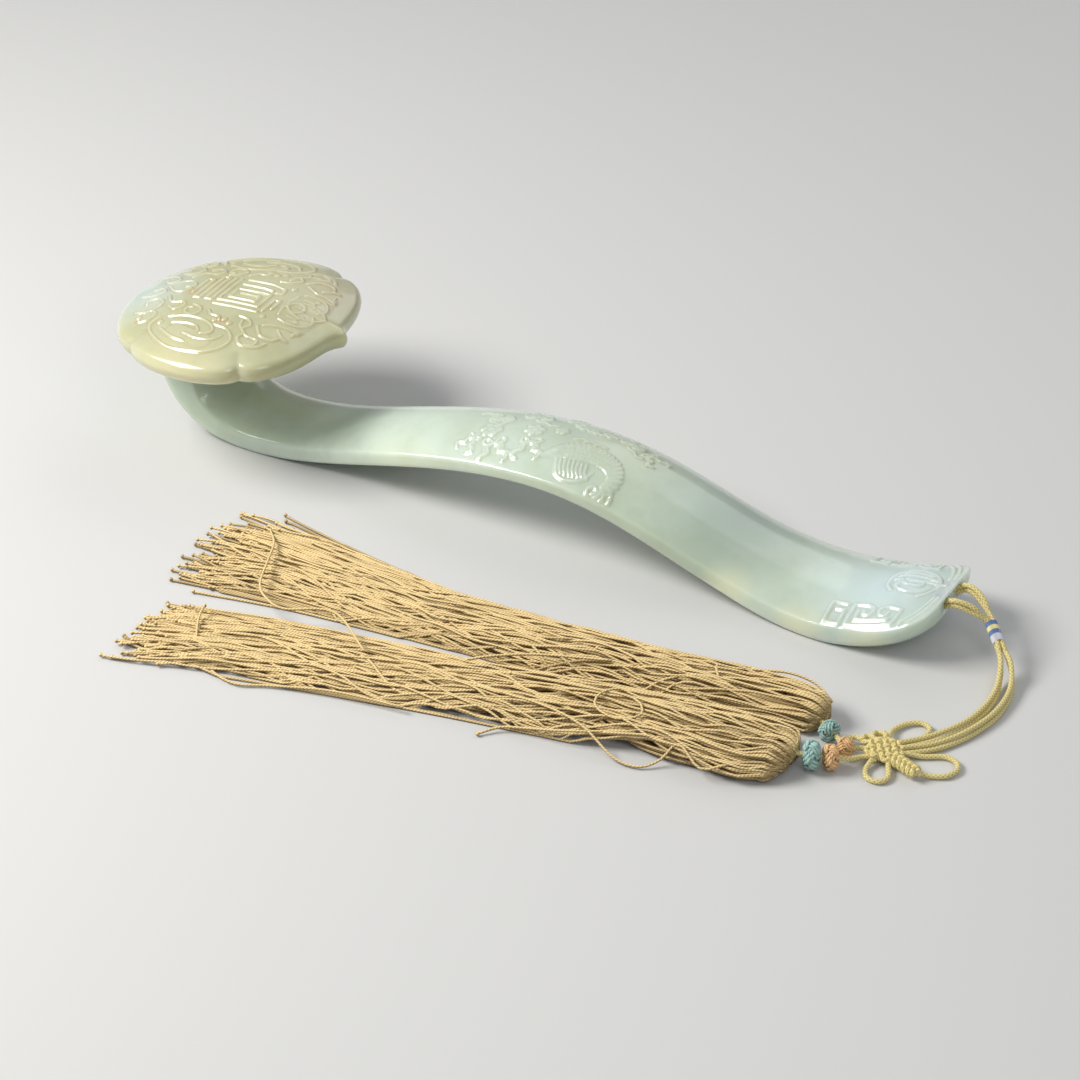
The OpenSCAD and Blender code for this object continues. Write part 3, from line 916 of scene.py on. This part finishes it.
def strand_route(front, row, run):
    """From the tunnel's turn out of one mouth, over in an arc and down through the bindings to the knot."""
    inside = [[TUNNEL_TURN[0], 0, TUNNEL_TURN[2]], TUNNEL_TURN, TUNNEL_MOUTH, *OVER_ARC]
    points = [[x, front * y, z + row * STRAND_GAP] for x, y, z in inside]
    apart = STRAND_GAP * 0.8 * (row * BINDING_UP + front * BINDING_SIDE)
    points += [BINDING_AT + along * BINDING_DIR + apart for along in (-5, 5)]
    for k, here in enumerate(run):
        after, before = run[min(k + 1, len(run) - 1)], run[max(k - 1, 0)]
        ahead = np.subtract(after, before)
        flat = np.array([ahead[1], -ahead[0], 0]) / math.hypot(ahead[0], ahead[1])
        turn = math.radians(RUN_TURN[k])
        lift = [0, 0, 0.9 * math.sin(turn)]
        sideways = math.cos(turn) * flat + math.sin(turn) * np.array([0, 0, 1])
        points.append(np.array(here) + lift + row * STRAND_GAP * sideways)
    return np.array(points, float)


def cord_tube(name, route, step=1.2, sides=16):
    """A braided cord of one diameter along a smooth route, its centreline in metres and its length."""
    radius = bpy.context.scene.ruyi_sizes.cord / 2
    path = to_frame(through(route, step))
    path[:, 2] = np.maximum(path[:, 2], radius)
    return tubes(name, [path], [radius], sides), path, round(run_length(path), 4)


CAMERA_AT = [619.2, -1044.9, 745]
ELEVATION = math.radians(32)
AZIMUTH = math.radians(30.7)
LENS = 109.8


class RUYI_OT_camera(bpy.types.Operator):
    """Add the camera at the viewing angle of the photograph"""

    bl_idname = "ruyi.camera"
    bl_label = "Camera"

    def execute(self, context):
        deselect()
        bpy.ops.object.camera_add(location=to_frame(CAMERA_AT))
        camera = context.object
        camera.name = "view"
        level = math.cos(ELEVATION)
        forward = Vector((-level * math.sin(AZIMUTH), level * math.cos(AZIMUTH), -math.sin(ELEVATION)))
        camera.rotation_euler = forward.to_track_quat("-Z", "Y").to_euler()
        camera.data.lens = LENS
        camera.data.sensor_width = 36
        camera.data.clip_start = 0.05
        camera.data.clip_end = 30
        context.scene.camera = camera
        context.scene.view_settings.view_transform = "Standard"
        return {"FINISHED"}


class RUYI_OT_strands(bpy.types.Operator):
    """Lay the four strands that run from the tail to the flower knot"""

    bl_idname = "ruyi.strands"
    bl_label = "Cord Strands"

    def execute(self, context):
        colours, sizes = context.scene.ruyi_colours, context.scene.ruyi_sizes
        silk = braid("silk_yellow_cord", colours.cord, colours.cord_shade, 4.0, 1.2)
        for name, (front, row, run) in STRANDS.items():
            piece, path, length = cord_tube("cord_" + name, strand_route(front, row, run))
            coat(piece, silk)
            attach(piece, "scepter")
            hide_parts(name)
        return {"FINISHED"}


class RUYI_OT_loops(bpy.types.Operator):
    """Lay the loops of the flower knot and the hangers that carry the button knots and tassels"""

    bl_idname = "ruyi.loops"
    bl_label = "Knot Loops and Hangers"

    def execute(self, context):
        silk = bpy.data.materials["silk_yellow_cord"]
        loops = {"knot_loop_upper": UPPER_LOOP, "knot_loop_lower": LOWER_LOOP, "knot_loop_small": SMALL_LOOP}
        for name, route in loops.items():
            piece, path, length = cord_tube("cord_" + name, route)
            coat(piece, silk)
            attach(piece, "scepter")
            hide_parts(name)
        hangers = {
            "hanger_front": (HANGER_FRONT, "front_tassel_body", [199, -95, 3], [192, -104, 5]),
            "hanger_back": (HANGER_BACK, "back_tassel_body", [198, -91, 3], [192, -94, 4]),
        }
        for name, (route, body, start, end) in hangers.items():
            piece, path, length = cord_tube("cord_" + name, route)
            coat(piece, silk)
            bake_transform(piece)
            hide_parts(name)
        # A turn too short to count as a free cord
        piece = cord_tube("cord_hanger_back_loop", HANGER_LOOP)[0]
        coat(piece, silk)
        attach(piece, "back_tassel_body")
        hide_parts("hanger_back_loop")
        return {"FINISHED"}


# Flower knot


def woven_pad(centre, turn, count, pitch, z, rise):
    """Two cords that snake to and fro across each other, over and under in turn."""
    half = pitch * (count - 1) / 2
    reach = half + 0.35 * pitch
    steps = np.linspace(-reach, reach, 8 * count + 1)
    routes = []
    for set_sign, swap in ((1, False), (-1, True)):
        points = []
        for i in range(count):
            lane = -half + i * pitch
            run = steps if i % 2 == 0 else steps[::-1]
            high = z + set_sign * rise * (-1) ** i * np.cos(math.pi * (run + half) / pitch)
            points += [[a, lane, b] for a, b in zip(run, high)]
            if i < count - 1:
                way = 1 if i % 2 == 0 else -1
                for a in (0.25, 0.5, 0.75):
                    bend = math.pi * (a - 0.5)
                    out = way * (reach + pitch * 0.5 * math.cos(bend))
                    points.append([out, lane + pitch * (0.5 + 0.5 * math.sin(bend)), z])
        points = np.array(points)
        if swap:
            points = points[:, [1, 0, 2]]
        c, s = math.cos(math.radians(turn)), math.sin(math.radians(turn))
        x = centre[0] + points[:, 0] * c - points[:, 1] * s
        y = centre[1] + points[:, 0] * s + points[:, 1] * c
        routes.append(np.column_stack([x, y, points[:, 2]]))
    return routes


def three_braid(start, end, half, z, rise, crossings):
    """Three strands plaited flat between two points."""
    start, end = np.array(start, float), np.array(end, float)
    ahead = (end - start) / np.linalg.norm(end - start)
    side = np.array([-ahead[1], ahead[0]])
    t = np.linspace(0, 1, 40)
    routes = []
    for k in range(3):
        phase = math.pi * crossings * t + TAU * k / 3
        flat = start + np.outer(t, end - start) + np.outer(half * np.sin(phase), side)
        routes.append(np.column_stack([flat, z + rise * np.sin(2 * phase)]))
    return routes


def ring_turns(centre, radius, z, turns, rise):
    t = np.linspace(0, 1, int(36 * turns))
    a = TAU * turns * t
    x = centre[0] + radius * np.cos(a)
    y = centre[1] + radius * np.sin(a)
    return np.column_stack([x, y, z + rise * np.sin(1.5 * a)])


class RUYI_OT_flower_knot(bpy.types.Operator):
    """Weave the flower knot out of the braided cord"""

    bl_idname = "ruyi.flower_knot"
    bl_label = "Flower Knot"

    def execute(self, context):
        radius = context.scene.ruyi_sizes.cord / 2
        routes = woven_pad([205, -88], 35, 4, 2.9, 3.2, 0.95)
        routes += three_braid([210, -90.5], [222.5, -95], 2.2, 3.1, 1.2, 3.5)
        routes.append(ring_turns([199.8, -80.8], 2.5, 2.9, 1.9, 0.9))
        routes.append(ring_turns([196.9, -84.6], 2.1, 2.8, 1.6, 0.8))
        paths = [to_frame(through(r, 0.7)) for r in routes]
        for path in paths:
            path[:, 2] = np.maximum(path[:, 2], radius)
        piece = tubes("flower_knot_woven", paths, [radius] * len(paths), 12)
        coat(piece, bpy.data.materials["silk_yellow_cord"])
        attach(piece, "scepter")
        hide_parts("flower_knot")
        return {"FINISHED"}


# Bindings: wound thread, one ring for each turn

BINDING_RADIUS = 2.32
THREAD_RADIUS = 0.22
# Each has its start along the strands and its length in millimetres, and its slot
BINDINGS = {
    "binding_upper_blue": (-5.0, 2.2, "silk_blue"),
    "binding_gold": (-2.8, 2.2, "silk_yellow"),
    "binding_lower_blue": (-0.6, 2.2, "silk_blue"),
    "binding_white": (1.6, 3.4, "silk_white"),
}


class RUYI_OT_bindings(bpy.types.Operator):
    """Wind the four thread bindings round the strands"""

    bl_idname = "ruyi.bindings"
    bl_label = "Thread Bindings"

    def execute(self, context):
        colours = context.scene.ruyi_colours
        tints = {"silk_blue": colours.blue, "silk_yellow": colours.cord, "silk_white": colours.white}
        facing = Vector(BINDING_DIR).to_track_quat("Z", "Y").to_euler()
        for name, (start, length, slot) in BINDINGS.items():
            count = round(length / (1.85 * THREAD_RADIUS))
            material = bpy.data.materials.get(slot + "_thread")
            if material is None:
                # Half the thread's colour is the painted shade in the grooves between its plies
                material = twist(slot + "_thread", tints[slot], [0.5 * c for c in tints[slot]], 2.0, 0.5)
            turns = []
            for k in range(count):
                along = start + length * (k + 0.5) / count
                deselect()
                bpy.ops.mesh.primitive_torus_add(
                    location=to_frame(BINDING_AT + along * BINDING_DIR),
                    rotation=facing,
                    major_radius=BINDING_RADIUS * MM,
                    minor_radius=THREAD_RADIUS * MM,
                    major_segments=48,
                    minor_segments=10,
                )
                turns.append(context.object)
            for turn in turns:
                turn.select_set(True)
            context.view_layer.objects.active = turns[0]
            bpy.ops.object.join()
            piece = context.object
            piece.name = name + "_wound"
            deselect()
            piece.select_set(True)
            bpy.ops.object.transform_apply(location=True, rotation=True, scale=True)
            bpy.ops.object.shade_smooth()
            coat(piece, material)
            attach(piece, "scepter")
            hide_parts(name)
        return {"FINISHED"}


# Button knots: three cords side by side, plaited round a ball

# Each has its middle, radius, thickness as a share of the radius, turn, slot and body
BUTTONS = {
    "button_peach_front": ([190.9, -105.5, 5.6], 5.6, 0.6, 35, "silk_peach", "front_tassel_body"),
    "button_teal_front": ([184.5, -109, 6.4], 6.4, 0.58, 25, "silk_teal", "front_tassel_body"),
    "button_peach_back": ([192.2, -95.2, 4.4], 4.4, 0.8, 5, "silk_peach", "back_tassel_body"),
    "button_teal_back": ([182.6, -89.6, 5], 5, 0.7, -32, "silk_teal", "back_tassel_body"),
}
# Painted shade of each of the three plies: the outer plies darker than the middle one
PLY_SHADES = (0.25, 0.0, 0.1)


def woven_ball(centre, radius, squash, turn, bights=4, plies=3):
    """Closed routes of a three-lead plait round a squashed ball, in drawing millimetres."""
    cord = radius * 0.122
    t = np.linspace(0, TAU, 240)
    height = np.radians(58) * np.sin(bights * t)
    around = 3 * t
    lift = radius - 1.9 * cord + 0.95 * cord * np.sin(2 * bights * t)
    axis = np.column_stack([np.sin(height), np.cos(height) * np.cos(around), np.cos(height) * np.sin(around)])
    ahead = np.gradient(axis, axis=0)
    ahead /= np.linalg.norm(ahead, axis=1)[:, None]
    side = np.cross(axis, ahead)
    c, s = math.cos(math.radians(turn)), math.sin(math.radians(turn))
    spin = np.array([[c, s, 0], [-s, c, 0], [0, 0, 1]])
    routes = []
    for k in range(plies):
        shift = (k - (plies - 1) / 2) * 2.05 * cord
        around_ball = axis * lift[:, None] + side * shift
        wanted = np.linalg.norm(axis * lift[:, None], axis=1)
        around_ball *= (wanted / np.linalg.norm(around_ball, axis=1))[:, None]
        around_ball[:, 0] *= squash
        routes.append(around_ball @ spin + centre)
    return routes, cord


class RUYI_OT_buttons(bpy.types.Operator):
    """Weave the four button knots"""

    bl_idname = "ruyi.buttons"
    bl_label = "Button Knots"

    def execute(self, context):
        colours = context.scene.ruyi_colours
        tints = {"silk_peach": colours.peach, "silk_teal": colours.teal}
        for name, (centre, radius, squash, turn, slot, body) in BUTTONS.items():
            material = bpy.data.materials.get(slot + "_cord")
            if material is None:
                # A fifth of the cord's colour is the painted shade in its grooves and on its shaded sides
                painted_shade = [0.18 * c for c in tints[slot]]
                material = twist(slot + "_cord", tints[slot], painted_shade, 2.0, 0.6)
            routes, cord = woven_ball(centre, radius, squash, turn)
            paths = [to_frame(r) for r in routes]
            radii = [cord * MM] * len(paths)
            # Painted shade: each ply's own, and darker sides where a ply faces the knot's middle
            piece = tubes(name + "_woven", paths, radii, 8, PLY_SHADES, to_frame(centre))
            # A core ball inside the plait, painted fully dark: painted shade between the cords
            deselect()
            bpy.ops.mesh.primitive_uv_sphere_add(
                segments=32,
                ring_count=16,
                radius=(radius - 2.9 * cord) * MM,
                location=to_frame(centre),
                rotation=(0, 0, math.radians(turn)),
                scale=(squash, 1, 1),
            )
            bpy.ops.object.transform_apply(location=True, rotation=True, scale=True)
            core = context.object
            painted_shade = core.data.attributes.new("tint", "FLOAT", "POINT")
            painted_shade.data.foreach_set("value", np.ones(len(core.data.vertices), np.float32))
            core.select_set(True)
            piece.select_set(True)
            context.view_layer.objects.active = piece
            bpy.ops.object.join()
            coat(piece, material)
            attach(piece, body)
            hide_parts(name)
        return {"FINISHED"}


# Tassels: loose strings laid over a table, each with a tiny knot at its end

# Outline of each tassel: place along it, its middle and its half width
FRONT_ROWS = [
    [177, -111.5, 8], [173, -113, 15.5], [165, -114.5, 18.5], [140, -117, 18.5],
    [100, -122.5, 17.5], [50, -131.5, 18], [0, -141, 19], [-50, -151.5, 18.5], [-95, -165, 15],
]
BACK_ROWS = [
    [176, -82, 6], [171, -81.5, 10], [161, -81, 12], [140, -83, 13],
    [100, -88, 14], [50, -91.5, 16], [0, -94, 17.5], [-50, -93.5, 20.5], [-108, -94, 24],
]
# Each has its outline, body, random seed and the least and most place where strings end
TASSELS = {
    "tassel_front": (FRONT_ROWS, "front_tassel_body", 11, (-97, -78)),
    "tassel_back": (BACK_ROWS, "back_tassel_body", 23, (-113, -84)),
}
# Sideways waves: least and most waves of a lock over its length and their sizes in millimetres,
# then least, most and size of each string's own waves
LOCK_LEAST = [0.6, 1.6, 3.0, 5.0]
LOCK_MOST = [1.4, 2.8, 5.0, 8.0]
LOCK_SWAY = [3.4, 2.2, 1.1, 0.4]
OWN_SWAY = [(1.2, 2.6, 2.4), (3.5, 6.0, 0.75), (9.0, 16.0, 0.25)]
LOCKS = 26
CROSSING_SHARE = 0.3
# Height of a tassel near its head and at its open end
BUNDLE_H = (13.5, 5.0)
STRING_POINTS = 72
STRING_SIDES = 6
STRAY_STEP = 3.6
HEAD_STEP = 2.2


def tassel_routes(rows, count, seed, ends):
    """String routes from inside the tassel's head, over its rounded end and back along the table, with each
    string's painted shade.
    """
    rng = np.random.default_rng(seed)
    rows = np.array(rows, float)[::-1]
    head_x = rows[-1, 0]
    lanes = np.linspace(-0.92, 0.92, LOCKS)
    locks = []
    for lane in lanes:
        waves = rng.random(4), rng.uniform(LOCK_LEAST, LOCK_MOST), rng.normal(size=4)
        locks.append((lane, *waves))
    routes, shades = [], []
    for k in range(count):
        lane, phases, rates, swings = locks[k % len(locks)]
        layer = float(np.clip(rng.beta(1.0, 1.3), 0.02, 1))
        place = float(np.clip(lane + 0.05 * rng.standard_normal(), -1, 1))
        crossing = rng.random() < CROSSING_SHARE
        target = float(np.clip(place + rng.normal() * (0.9 if crossing else 0.3), -0.95, 0.95))
        if crossing:
            layer = lerp(layer, 1.0, 0.5)
        end_x = lerp(*ends, rng.random() ** 0.8) + 18 * (rng.random() < 0.18)
        x = np.linspace(head_x - 7 + 3 * layer, end_x, STRING_POINTS)
        progress = (x[0] - x) / (x[0] - x[-1])
        middle = np.interp(x, rows[:, 0], rows[:, 1])
        half = np.interp(x, rows[:, 0], rows[:, 2])
        free = smooth(progress * 5 - 0.2)
        sway = np.zeros_like(x)
        for phase, rate, swing, size in zip(phases, rates, swings, LOCK_SWAY):
            sway += size * swing * np.sin(TAU * (rate * progress + phase))
        for low, high, size in OWN_SWAY:
            sway += size * rng.normal() * np.sin(TAU * (rng.uniform(low, high) * progress + rng.random()))
        across = lerp(place, target, smooth(progress * rng.uniform(0.9, 1.6) - rng.uniform(0, 0.3)))
        across = np.clip(across + free * sway / half, -1.06, 1.06)
        y = middle + half * across + 5.0 * rng.normal() * progress**5
        bundle = lerp(*BUNDLE_H, smooth(progress * 1.1))
        crown = np.sqrt(np.clip(1 - np.abs(across / 1.06) ** 2.3, 0.0, 1))
        ride = layer + 0.22 * np.sin(TAU * (rng.uniform(1.5, 4) * progress + rng.random()))
        ride = np.clip(ride + 0.1 * np.sin(TAU * (rng.uniform(5, 9) * progress + rng.random())), 0, 1.1)
        z = 0.6 + (bundle - 1.2) * crown * lerp(0.12, 1.0, ride)
        z = lerp(z, 0.6, smooth((progress - 0.9) / 0.14) * (0.1 + 0.9 * rng.random()))
        route = np.column_stack([x, y, np.maximum(z, 0.56)])
        first = route[0]
        core = [head_x - 9, np.interp(head_x - 9, rows[:, 0], rows[:, 1])]
        turn_x = head_x + 1.4 - 4.5 * abs(place) ** 3
        over = [
            [core[0], core[1] + 0.35 * (first[1] - core[1]), 0.45 * first[2] + 1.2],
            [lerp(core[0], turn_x, 0.75), core[1] + 0.55 * (first[1] - core[1]), 0.5 * first[2] + 1.2],
            [turn_x, core[1] + 0.8 * (first[1] - core[1]), 0.62 * first[2] + 1.4],
            [lerp(first[0], turn_x, 0.6), core[1] + 0.97 * (first[1] - core[1]), 0.93 * first[2]],
        ]
        head_part = through(np.vstack([over, first]), HEAD_STEP)[:-1]
        routes.append(np.vstack([head_part, route]))
        # Painted shade of each string: lower strings darker, plus a random share for each string
        shades.append(float(np.clip(0.72 - 0.95 * layer + 0.2 * rng.normal(), 0, 1)))
    return routes, shades


# Single strings that stand out from the bundles
STRAYS = {
    "tassel_front": [
        [
            [168, -126, 7], [160, -132, 7], [151, -137, 5], [139, -132, 9], [134, -137, 3],
            [128, -143, 1], [117, -144, 2], [100, -139, 8], [80, -136, 9], [50, -136, 8],
        ],
        [
            [30, -158, 3], [0, -163, 3], [-25, -170, 1], [-38, -176, 1], [-52, -173, 1],
            [-65, -164, 2], [-73, -152, 6], [-77, -142, 6],
        ],
        [
            [0, -140, 9], [-25, -124, 10], [-45, -131, 9], [-56, -128, 9], [-66, -118, 7],
            [-72, -104, 8], [-79, -89, 7], [-90, -76, 3],
        ],
        [
            [150, -118, 11], [130, -113, 12], [113, -116, 12], [104, -116, 13], [99, -123, 13],
            [101, -130, 12], [111, -132, 11], [119, -126, 12], [112, -119, 13], [90, -121, 12],
            [60, -126, 11],
        ],
        [[120, -132, 8], [95, -143, 6], [78, -146, 3], [69, -149, 2], [63, -156, 1]],
    ],
    "tassel_back": [
        [
            [176, -74, 7], [167, -70, 10], [156, -71, 12], [145, -75, 12], [136, -79, 12],
            [129, -82, 13], [131, -86, 13], [133, -89, 11], [127, -91, 10], [108, -90, 10],
            [80, -92, 10],
        ],
        [[90, -98, 11], [62, -108, 10], [46, -117, 9], [38, -123, 8]],
    ],
}


def end_knot(route, radius):
    """A short fat tube on the last stretch of a string, for its tiny knot."""
    tip, before = route[-1], route[-2]
    ahead = (tip - before) / np.linalg.norm(tip - before)
    spots = tip + np.outer([-1.4, -0.9, 0.0, 0.9, 1.4], ahead) * radius
    spots[:, 2] = np.maximum(spots[:, 2], 1.75 * radius)
    return spots, radius * np.array([0.7, 1.45, 1.75, 1.4, 0.5])


class RUYI_OT_tassels(bpy.types.Operator):
    """Lay the strings of both tassels"""

    bl_idname = "ruyi.tassels"
    bl_label = "Tassels"

    def execute(self, context):
        colours, sizes = context.scene.ruyi_colours, context.scene.ruyi_sizes
        silk = twist("silk_tan_string", colours.tassel, colours.tassel_shade)
        radius = sizes.string / 2
        for name, (rows, body, seed, ends) in TASSELS.items():
            routes, shades = tassel_routes(rows, sizes.strings, seed, ends)
            routes += [through(r, STRAY_STEP) for r in STRAYS[name]]
            shades += [0.0] * len(STRAYS[name])
            paths = [to_frame(r) for r in routes]
            radii = [radius] * len(paths)
            for path in list(paths):
                spots, fat = end_knot(path, radius)
                paths.append(spots)
                radii.append(fat)
            # Each end knot takes its string's painted shade
            piece = tubes(name + "_strings", paths, radii, STRING_SIDES, shades * 2)
            coat(piece, silk)
            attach(piece, body)
            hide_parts(name)
        return {"FINISHED"}


# Tinted zones of the stone, some of them painted light as marked: middle and radius in millimetres, colour,
# strength
HEAD_ZONES = [
    # Bluish-white over the head's left end: partly the stone's tone, partly a painted highlight
    ([-206, -8, 58], 34, (0.56, 0.66, 0.63), 0.8),
    ([-112, 38, 62], 44, (0.50, 0.46, 0.33), 0.6),
    ([-150, -56, 50], 26, (0.74, 0.68, 0.42), 0.45),
    ([-176, -8, 67], 5, (0.50, 0.27, 0.10), 0.5),
    ([-172, 8, 68], 4, (0.50, 0.27, 0.10), 0.4),
    ([-148, -26, 66], 4, (0.52, 0.30, 0.12), 0.35),
]
HANDLE_ZONES = [
    ([-186, 0, 24], 26, (0.58, 0.72, 0.71), 0.7),
    ([-132, 14, 12], 30, (0.42, 0.43, 0.25), 0.6),
    ([40, 6, 30], 34, (0.50, 0.55, 0.38), 0.5),
    # Darker blue-green on the falling slope of the arch: painted shade of a side facing a dark surround
    ([92, 6, 22], 42, (0.38, 0.46, 0.41), 0.75),
    # Pale bluish-white over the tail: partly the stone's tone, partly a painted broad soft highlight
    ([168, -4, 14], 46, (0.64, 0.77, 0.80), 0.7),
    # Pale yellow along the lower near edge: painted glow of light through the thin stone
    ([104, -28, 9], 15, (0.74, 0.74, 0.50), 0.6),
    ([138, -30, 3], 15, (0.74, 0.74, 0.50), 0.6),
    ([170, -28, 4], 15, (0.74, 0.74, 0.50), 0.6),
    # Pale yellow low on the near side: painted glow of light through the stone
    ([-50, -24, 8], 26, (0.70, 0.72, 0.50), 0.45),
]


class RUYI_OT_jade(bpy.types.Operator):
    """Carve the head and the handle"""

    bl_idname = "ruyi.jade"
    bl_label = "Jade Body"

    def execute(self, context):
        colours = context.scene.ruyi_colours
        head = head_mesh()
        cream = jade("jade_head", colours.head, colours.head_deep, colours.russet, 0.55, HEAD_ZONES)
        coat(head, cream)
        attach(head, "scepter")
        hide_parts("head")
        shaft = shaft_mesh()
        celadon = jade("jade_shaft", colours.handle, colours.handle_deep, colours.russet, 0.22, HANDLE_ZONES)
        coat(shaft, celadon)
        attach(shaft, "scepter")
        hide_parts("shaft")
        return {"FINISHED"}


# Soft lamps: name, place and size in metres, watts and tint
LIGHTS = [
    ("key", (-0.75, -0.5, 0.9), (0.7, 0.5), 18.5, (1.0, 0.98, 0.95)),
    ("fill", (0.9, -0.7, 0.9), (0.6, 0.6), 3, (0.97, 0.98, 1.0)),
    ("back", (0.25, 0.95, 0.85), (1.6, 0.9), 3.5, (0.96, 0.98, 1.0)),
]
LIT_POINT = Vector((0, -0.03, 0.02))
SKY_STRENGTH = 0.27


class RUYI_OT_stage(bpy.types.Operator):
    """Add the pale floor and the soft studio lights"""

    bl_idname = "ruyi.stage"
    bl_label = "Stage"

    def execute(self, context):
        deselect()
        bpy.ops.mesh.primitive_plane_add(size=8, location=(0, 0, -0.0002))
        floor = context.object
        floor.name = "floor"
        floor.data.materials.append(plain_stage("stage_pale", context.scene.ruyi_colours.floor))
        for name, at, size, watts, tint in LIGHTS:
            deselect()
            bpy.ops.object.light_add(type="AREA", location=at)
            lamp = context.object
            lamp.name = "light_" + name
            lamp.data.shape = "RECTANGLE"
            lamp.data.size, lamp.data.size_y = size
            lamp.data.energy = watts
            lamp.data.color = tint
            lamp.rotation_euler = (LIT_POINT - Vector(at)).to_track_quat("-Z", "Y").to_euler()
        world = bpy.data.worlds.new("studio")
        world.use_nodes = True
        sky = world.node_tree.nodes["Background"]
        sky.inputs["Color"].default_value = (0.95, 0.97, 1.0, 1.0)
        sky.inputs["Strength"].default_value = SKY_STRENGTH
        context.scene.world = world
        return {"FINISHED"}


def colour(label, red, green, blue, about):
    return bpy.props.FloatVectorProperty(
        name=label, description=about, subtype="COLOR", size=3, min=0, max=1, default=(red, green, blue)
    )


def thickness(label, default, low, high, about):
    return bpy.props.FloatProperty(
        name=label, description=about, default=default, min=low, max=high, unit="LENGTH"
    )


class RuyiSizes(bpy.types.PropertyGroup):
    """Sizes that a user would change."""

    cord: thickness("Cord", 0.0021, 0.001, 0.004, "Diameter of the braided cord")
    string: thickness("Tassel String", 0.0011, 0.0006, 0.002, "Diameter of one tassel string")
    strings: bpy.props.IntProperty(
        name="Strings", description="Number of strings in each tassel", default=180, min=20, max=200
    )


class RuyiColours(bpy.types.PropertyGroup):
    """Colours of the stone, the silk and the stage."""

    head: colour("Head", 0.555, 0.56, 0.38, "Creamy jade of the head")
    head_deep: colour("Head Depth", 0.415, 0.415, 0.24, "Deeper tone in the head")
    handle: colour("Handle", 0.59, 0.68, 0.585, "Celadon jade of the handle")
    handle_deep: colour("Handle Depth", 0.41, 0.48, 0.365, "Olive clouds in the handle")
    russet: colour("Russet", 0.42, 0.24, 0.10, "Warm stain in the carved lines")
    cord: colour("Cord", 0.98, 0.87, 0.40, "Golden yellow cord")
    # Painted shade in the cord's grooves
    cord_shade: colour("Cord Shade", 0.52, 0.37, 0.11, "Grooves of the cord")
    tassel: colour("Tassel", 0.93, 0.71, 0.345, "Tan gold strings")
    # Painted shade in the strings' grooves, on their undersides and on the lower strings
    tassel_shade: colour("Tassel Shade", 0.22, 0.135, 0.045, "Grooves of the strings")
    blue: colour("Blue", 0.16, 0.26, 0.52, "Blue thread")
    white: colour("White", 0.74, 0.75, 0.82, "White thread")
    teal: colour("Teal", 0.40, 0.63, 0.57, "Teal button knots")
    peach: colour("Peach", 0.95, 0.58, 0.27, "Peach button knots")
    floor: colour("Floor", 0.62, 0.62, 0.61, "Pale floor")


class RUYI_PT_panel(bpy.types.Panel):
    """Steps and settings of the scepter"""

    bl_label = "Ruyi Scepter"
    bl_idname = "RUYI_PT_panel"
    bl_space_type = "VIEW_3D"
    bl_region_type = "UI"
    bl_category = "Ruyi"

    def draw(self, context):
        for group in (context.scene.ruyi_sizes, context.scene.ruyi_colours):
            for key in group.__annotations__:
                self.layout.prop(group, key)
        for step in STEPS:
            self.layout.operator(step.bl_idname)


STEPS = [
    RUYI_OT_camera,
    RUYI_OT_strands,
    RUYI_OT_loops,
    RUYI_OT_jade,
    RUYI_OT_flower_knot,
    RUYI_OT_bindings,
    RUYI_OT_buttons,
    RUYI_OT_tassels,
    RUYI_OT_stage,
]
CLASSES = [RuyiSizes, RuyiColours, *STEPS, RUYI_PT_panel]


def register():
    for cls in CLASSES:
        bpy.utils.register_class(cls)
    bpy.types.Scene.ruyi_sizes = bpy.props.PointerProperty(type=RuyiSizes)
    bpy.types.Scene.ruyi_colours = bpy.props.PointerProperty(type=RuyiColours)


def unregister():
    del bpy.types.Scene.ruyi_colours
    del bpy.types.Scene.ruyi_sizes
    for cls in reversed(CLASSES):
        bpy.utils.unregister_class(cls)


def main():
    register()
    bpy.ops.ruyi.camera()
    bpy.ops.ruyi.strands()
    bpy.ops.ruyi.loops()
    bpy.ops.ruyi.jade()
    bpy.ops.ruyi.flower_knot()
    bpy.ops.ruyi.bindings()
    bpy.ops.ruyi.buttons()
    bpy.ops.ruyi.tassels()
    bpy.ops.ruyi.stage()


if __name__ == "__main__":
    main()
